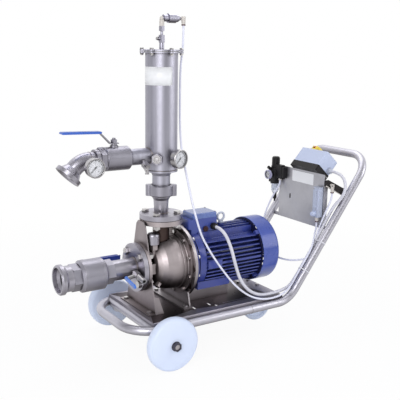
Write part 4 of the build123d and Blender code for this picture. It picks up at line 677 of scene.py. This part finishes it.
# Front wheels
def wheel(node, y):
    """Nylon wheel: nearly flat faces with a small step inside the round tread."""
    half = [(10.4, 23.4), (60, 23.2), (86, 22.2), (91.5, 20.8), (92.4, 19.6), (93.6, 19.8), (96.8, 16.5),
            (99.2, 10.5), (100, 3)]
    outline = half + [(r, -h) for r, h in reversed(half)] + [half[0]]
    piece = lathe(node + "_face", at(AXLE_X, y, AXLE_Z), (0, 1, 0), outline, nylon, 96, node)
    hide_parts(node)


wheel("front_wheel_near", -WHEEL_Y)
wheel("front_wheel_far", WHEEL_Y)


# Closed rear shield of the motor, seen in the gap before the fan cover; its near-black blue is painted shade of that
# gap
lathe("rear_shield", at(398.5, 0, SHAFT_Z), (1, 0, 0),
      [(99.5, 0), (128.5, 0), (129.5, 1), (129.5, 3), (99.5, 3), (99.5, 0)], gap_shade_blue, 72)

# Turned rings on the suction valve
for k, x in enumerate((-335.5, -331.5, -327.5, -262)):
    band(f"valve_ring_{k}", (x, 0, SHAFT_Z), (1, 0, 0), 59.0, 0.9, 0.45, turned_steel)

# Stepped face of the column's sight plug
PLUG_TURN = math.radians(-132)
PLUG_WAY = (math.cos(PLUG_TURN), math.sin(PLUG_TURN), 0)
lathe("plug_face", at(BOSS_REACH * PLUG_WAY[0], BOSS_REACH * PLUG_WAY[1], 738), PLUG_WAY,
      [(0.01, 1.8), (6.5, 1.6), (7.0, 0.4), (10.5, 0.4), (11.0, 2.4), (15.0, 2.4), (16.2, 1.4), (16.2, -0.4),
       (0.01, -0.4)], plated, 40)


# Bare white plates on the column and on the panel
def column_plate():
    """White film wrapped round the column's near left side, with round corners."""
    inner, outer = COLUMN_R + 0.05, COLUMN_R + 0.6
    start, end = math.radians(144), math.radians(280)
    low, high, corner = 1003.6, 1069.6, 5.0
    steps = 72
    verts, faces = [], []
    for k in range(steps + 1):
        turn = start + (end - start) * k / steps
        edge = min(turn - start, end - turn) * COLUMN_R
        inset = corner - math.sqrt(max(0.0, corner ** 2 - (corner - edge) ** 2)) if edge < corner else 0.0
        for radius in (inner, outer):
            for z in (low + inset, high - inset):
                verts.append(at(radius * math.cos(turn), radius * math.sin(turn), z))
    for k in range(steps):
        a, b = 4 * k, 4 * k + 4
        faces += [(a + 2, b + 2, b + 3, a + 3), (a, a + 1, b + 1, b), (a, b, b + 2, a + 2),
                  (a + 1, a + 3, b + 3, b + 1)]
    faces += [(0, 2, 3, 1), (4 * steps, 4 * steps + 1, 4 * steps + 3, 4 * steps + 2)]
    mesh = bpy.data.meshes.new("column_plate")
    mesh.from_pydata([tuple(v) for v in verts], [], faces)
    # Smooth right over its edges: it is a thin film
    new_piece("column_plate", mesh, plate_white, smooth=False)
    mesh.polygons.foreach_set("use_smooth", [True] * len(mesh.polygons))


column_plate()
slab("panel_plate", (700, -10, 598.5), (0, -1, 0), (0, 0, 1), 136, 47, 0.8, 3, plate_white)
# A dark sheet in the panel's keyhole stands for the painted shade seen through it.
slab("keyhole_shade", (701.2, 69, 504), (0, -1, 0), (0, 0, 1), 8, 22, 1.6, 3.9, black_nylon)


# Cable ties round the near handle tube and what hangs on it
def tie(name, along, rounds):
    """Thin band round circles given as (height over the slope, y, radius)."""
    steps, air, thick, half = 24, 0.3, 1.2, 2.3
    ring = []
    for height, y, radius in rounds:
        for k in range(steps):
            turn = 2 * math.pi * k / steps
            ring.append((height + (radius + air) * math.cos(turn), y + (radius + air) * math.sin(turn)))
    # The band is the convex outline of all the circles
    ring.sort()
    hull = []
    for points in (ring, list(reversed(ring))):
        chain = []
        for q in points:
            while len(chain) > 1 and ((chain[-1][0] - chain[-2][0]) * (q[1] - chain[-2][1])
                                      - (chain[-1][1] - chain[-2][1]) * (q[0] - chain[-2][0])) <= 0:
                chain.pop()
            chain.append(q)
        hull += chain[:-1]
    middle = Vector((sum(q[0] for q in hull) / len(hull), sum(q[1] for q in hull) / len(hull)))
    verts, faces = [], []
    for height, y in hull:
        out = (Vector((height, y)) - middle).normalized() * thick
        for shift, grow in ((-half, 0), (half, 0), (half, 1), (-half, 1)):
            verts.append(at(*on_slope(along + shift, height + out.x * grow, y + out.y * grow)))
    count = len(hull)
    for k in range(count):
        a, b = 4 * k, 4 * ((k + 1) % count)
        for m in range(4):
            faces.append((a + m, b + m, b + (m + 1) % 4, a + (m + 1) % 4))
    mesh = bpy.data.meshes.new(name)
    mesh.from_pydata([tuple(v) for v in verts], [], faces)
    new_piece(name, mesh, tie_white)


TUBE_ROUND = (0, -RAIL_Y, TUBE_R)
tie("tie_low", 141, [TUBE_ROUND, (6, -164, 6.5), (20, -179.5, 4)])
tie("tie_high", 277, [TUBE_ROUND, (8, -163.5, 6.5)])

# Coloured release rings of the push-in fittings
band("ring_top", (*TOP_FITTING, 1219.5), (0, 0, 1), 6.9, 2.2, 1.0, ring_red, slot="push_fittings")
band("ring_meter", (*METER_FITTING, 429.5), (0, 0, 1), 6.9, 2.0, 1.0, ring_red, slot="push_fittings")
band("ring_strut", (*STRUT_FITTING, 557), (0, 0, 1), 6.9, 2.0, 1.0, ring_red)

# Screws of the covers, and the meter's scale
BOX_TILT = math.radians(42.5)
BOX_ALONG = Vector((math.cos(BOX_TILT), 0, -math.sin(BOX_TILT)))
BOX_UP = Vector((math.sin(BOX_TILT), 0, math.cos(BOX_TILT)))
BOX_CORNER = Vector((700, 0, 631)) - BOX_ALONG * 25.5
for k, (along, y) in enumerate(((10, -97), (72.8, -97), (10, 47), (72.8, 47))):
    screw(f"starter_screw_{k}", BOX_CORNER + BOX_ALONG * along + BOX_UP * 99.9 + Vector((0, y, 0)), BOX_UP, 3.6,
          grey_gland)
for k, (x, y) in enumerate(((128, -36), (224, -36), (128, 36), (224, 36))):
    screw(f"lid_screw_{k}", (x, y, 509), (0, 0, 1), 3.4, bolt_steel)
for k, z in enumerate((456, 572)):
    screw(f"meter_screw_{k}", (672, -114, z), (-1, 0, 0), 2.8, bolt_steel)
for k in range(11):
    long = k % 5 == 0
    slab(f"meter_mark_{k}", (672, -131 if long else -132, 486 + 7.4 * k), (0, -1, 0), (0, 0, 1),
         7 if long else 4, 0.8, 0.2, 0.35, needle_black)


# Stage: pale floor and soft light
ROOM_LEVEL = 0.26
FLOOR_HALF = 14
FLOOR_Z = -0.0005


def larger(tree, first, second):
    """The larger of two sockets."""
    node = tree.nodes.new("ShaderNodeMath")
    node.operation = "MAXIMUM"
    tree.links.new(first, node.inputs[0])
    tree.links.new(second, node.inputs[1])
    return node.outputs[0]


def make_floor():
    look = Look("floor_white").set(Roughness=0.9, Base_Color=(0.93, 0.93, 0.935, 1))
    ray = look.add("ShaderNodeLightPath").outputs
    seen = larger(look.tree, larger(look.tree, ray["Is Camera Ray"], ray["Is Glossy Ray"]), ray["Is Transmission Ray"])
    glow = look.add("ShaderNodeEmission")
    glow.inputs["Color"].default_value = (1, 1, 1, 1)
    # Far from the object the floor runs into the white backdrop, and near it the shadow shows
    reach = look.add("ShaderNodeVectorMath", operation="LENGTH")
    look.link(look.coords, reach.inputs[0])
    share = look.add("ShaderNodeMath", operation="MULTIPLY")
    look.link(seen, share.inputs[0])
    look.link(look.span(reach.outputs["Value"], 0.9, 2.2, 0.94, 1.0), share.inputs[1])
    blend = look.add("ShaderNodeMixShader")
    look.link(share.outputs[0], blend.inputs[0])
    look.link(look.shader.outputs[0], blend.inputs[1])
    look.link(glow.outputs[0], blend.inputs[2])
    look.link(blend.outputs[0], look.tree.nodes["Material Output"].inputs["Surface"])
    mesh = bpy.data.meshes.new("floor")
    corners = [(x * FLOOR_HALF, y * FLOOR_HALF, 0) for x, y in ((-1, -1), (1, -1), (1, 1), (-1, 1))]
    mesh.from_pydata(corners, [], [(0, 1, 2, 3)])
    mesh.materials.append(look.material)
    floor = bpy.data.objects.new("floor", mesh)
    floor.location.z = FLOOR_Z
    bpy.context.scene.collection.objects.link(floor)


def make_world():
    """White all round for the eye, soft bluish light on the object, and a dimmer room in front for polished metal."""
    world = bpy.data.worlds.new("studio")
    bpy.context.scene.world = world
    world.use_nodes = True
    tree = world.node_tree
    tree.nodes.clear()
    ray = tree.nodes.new("ShaderNodeLightPath").outputs
    seen = larger(tree, ray["Is Camera Ray"], ray["Is Transmission Ray"])
    seen_or_glossy = larger(tree, seen, ray["Is Glossy Ray"])
    ambient = tree.nodes.new("ShaderNodeBackground")
    ambient.inputs["Color"].default_value = (0.92, 0.94, 1.0, 1)
    ambient.inputs["Strength"].default_value = 0.45
    toward = tree.nodes.new("ShaderNodeVectorMath")
    toward.operation = "DOT_PRODUCT"
    toward.inputs[1].default_value = (0.55, 0.83, 0.0)
    tree.links.new(tree.nodes.new("ShaderNodeTexCoord").outputs["Generated"], toward.inputs[0])
    fall = tree.nodes.new("ShaderNodeMapRange")
    for key, number in (("From Min", -0.55), ("From Max", 0.55), ("To Min", ROOM_LEVEL), ("To Max", 1.0)):
        fall.inputs[key].default_value = number
    tree.links.new(toward.outputs["Value"], fall.inputs["Value"])
    white = tree.nodes.new("ShaderNodeBackground")
    white.inputs["Color"].default_value = (1, 1, 1, 1)
    tree.links.new(larger(tree, fall.outputs["Result"], seen), white.inputs["Strength"])
    blend = tree.nodes.new("ShaderNodeMixShader")
    tree.links.new(seen_or_glossy, blend.inputs[0])
    tree.links.new(ambient.outputs[0], blend.inputs[1])
    tree.links.new(white.outputs[0], blend.inputs[2])
    out = tree.nodes.new("ShaderNodeOutputWorld")
    tree.links.new(blend.outputs[0], out.inputs["Surface"])


def lamp(name, place, target, size, power):
    data = bpy.data.lights.new(name, "AREA")
    data.shape = "RECTANGLE"
    data.size, data.size_y = size
    data.energy = power
    light = bpy.data.objects.new(name, data)
    light.location = place
    light.rotation_euler = (Vector(target) - Vector(place)).to_track_quat("-Z", "Y").to_euler()
    bpy.context.scene.collection.objects.link(light)


make_floor()
make_world()
lamp("key", (-2.45, -2.15, 1.75), (0, 0, 0.5), (1.6, 2.4), 60)
lamp("fill", (2.2, -2.2, 1.6), (0, 0, 0.4), (1.6, 2.0), 26)
lamp("top", (0.2, 0.8, 3.0), (0, 0, 0.4), (3.0, 2.0), 28)

bpy.context.scene.view_settings.view_transform = "Standard"
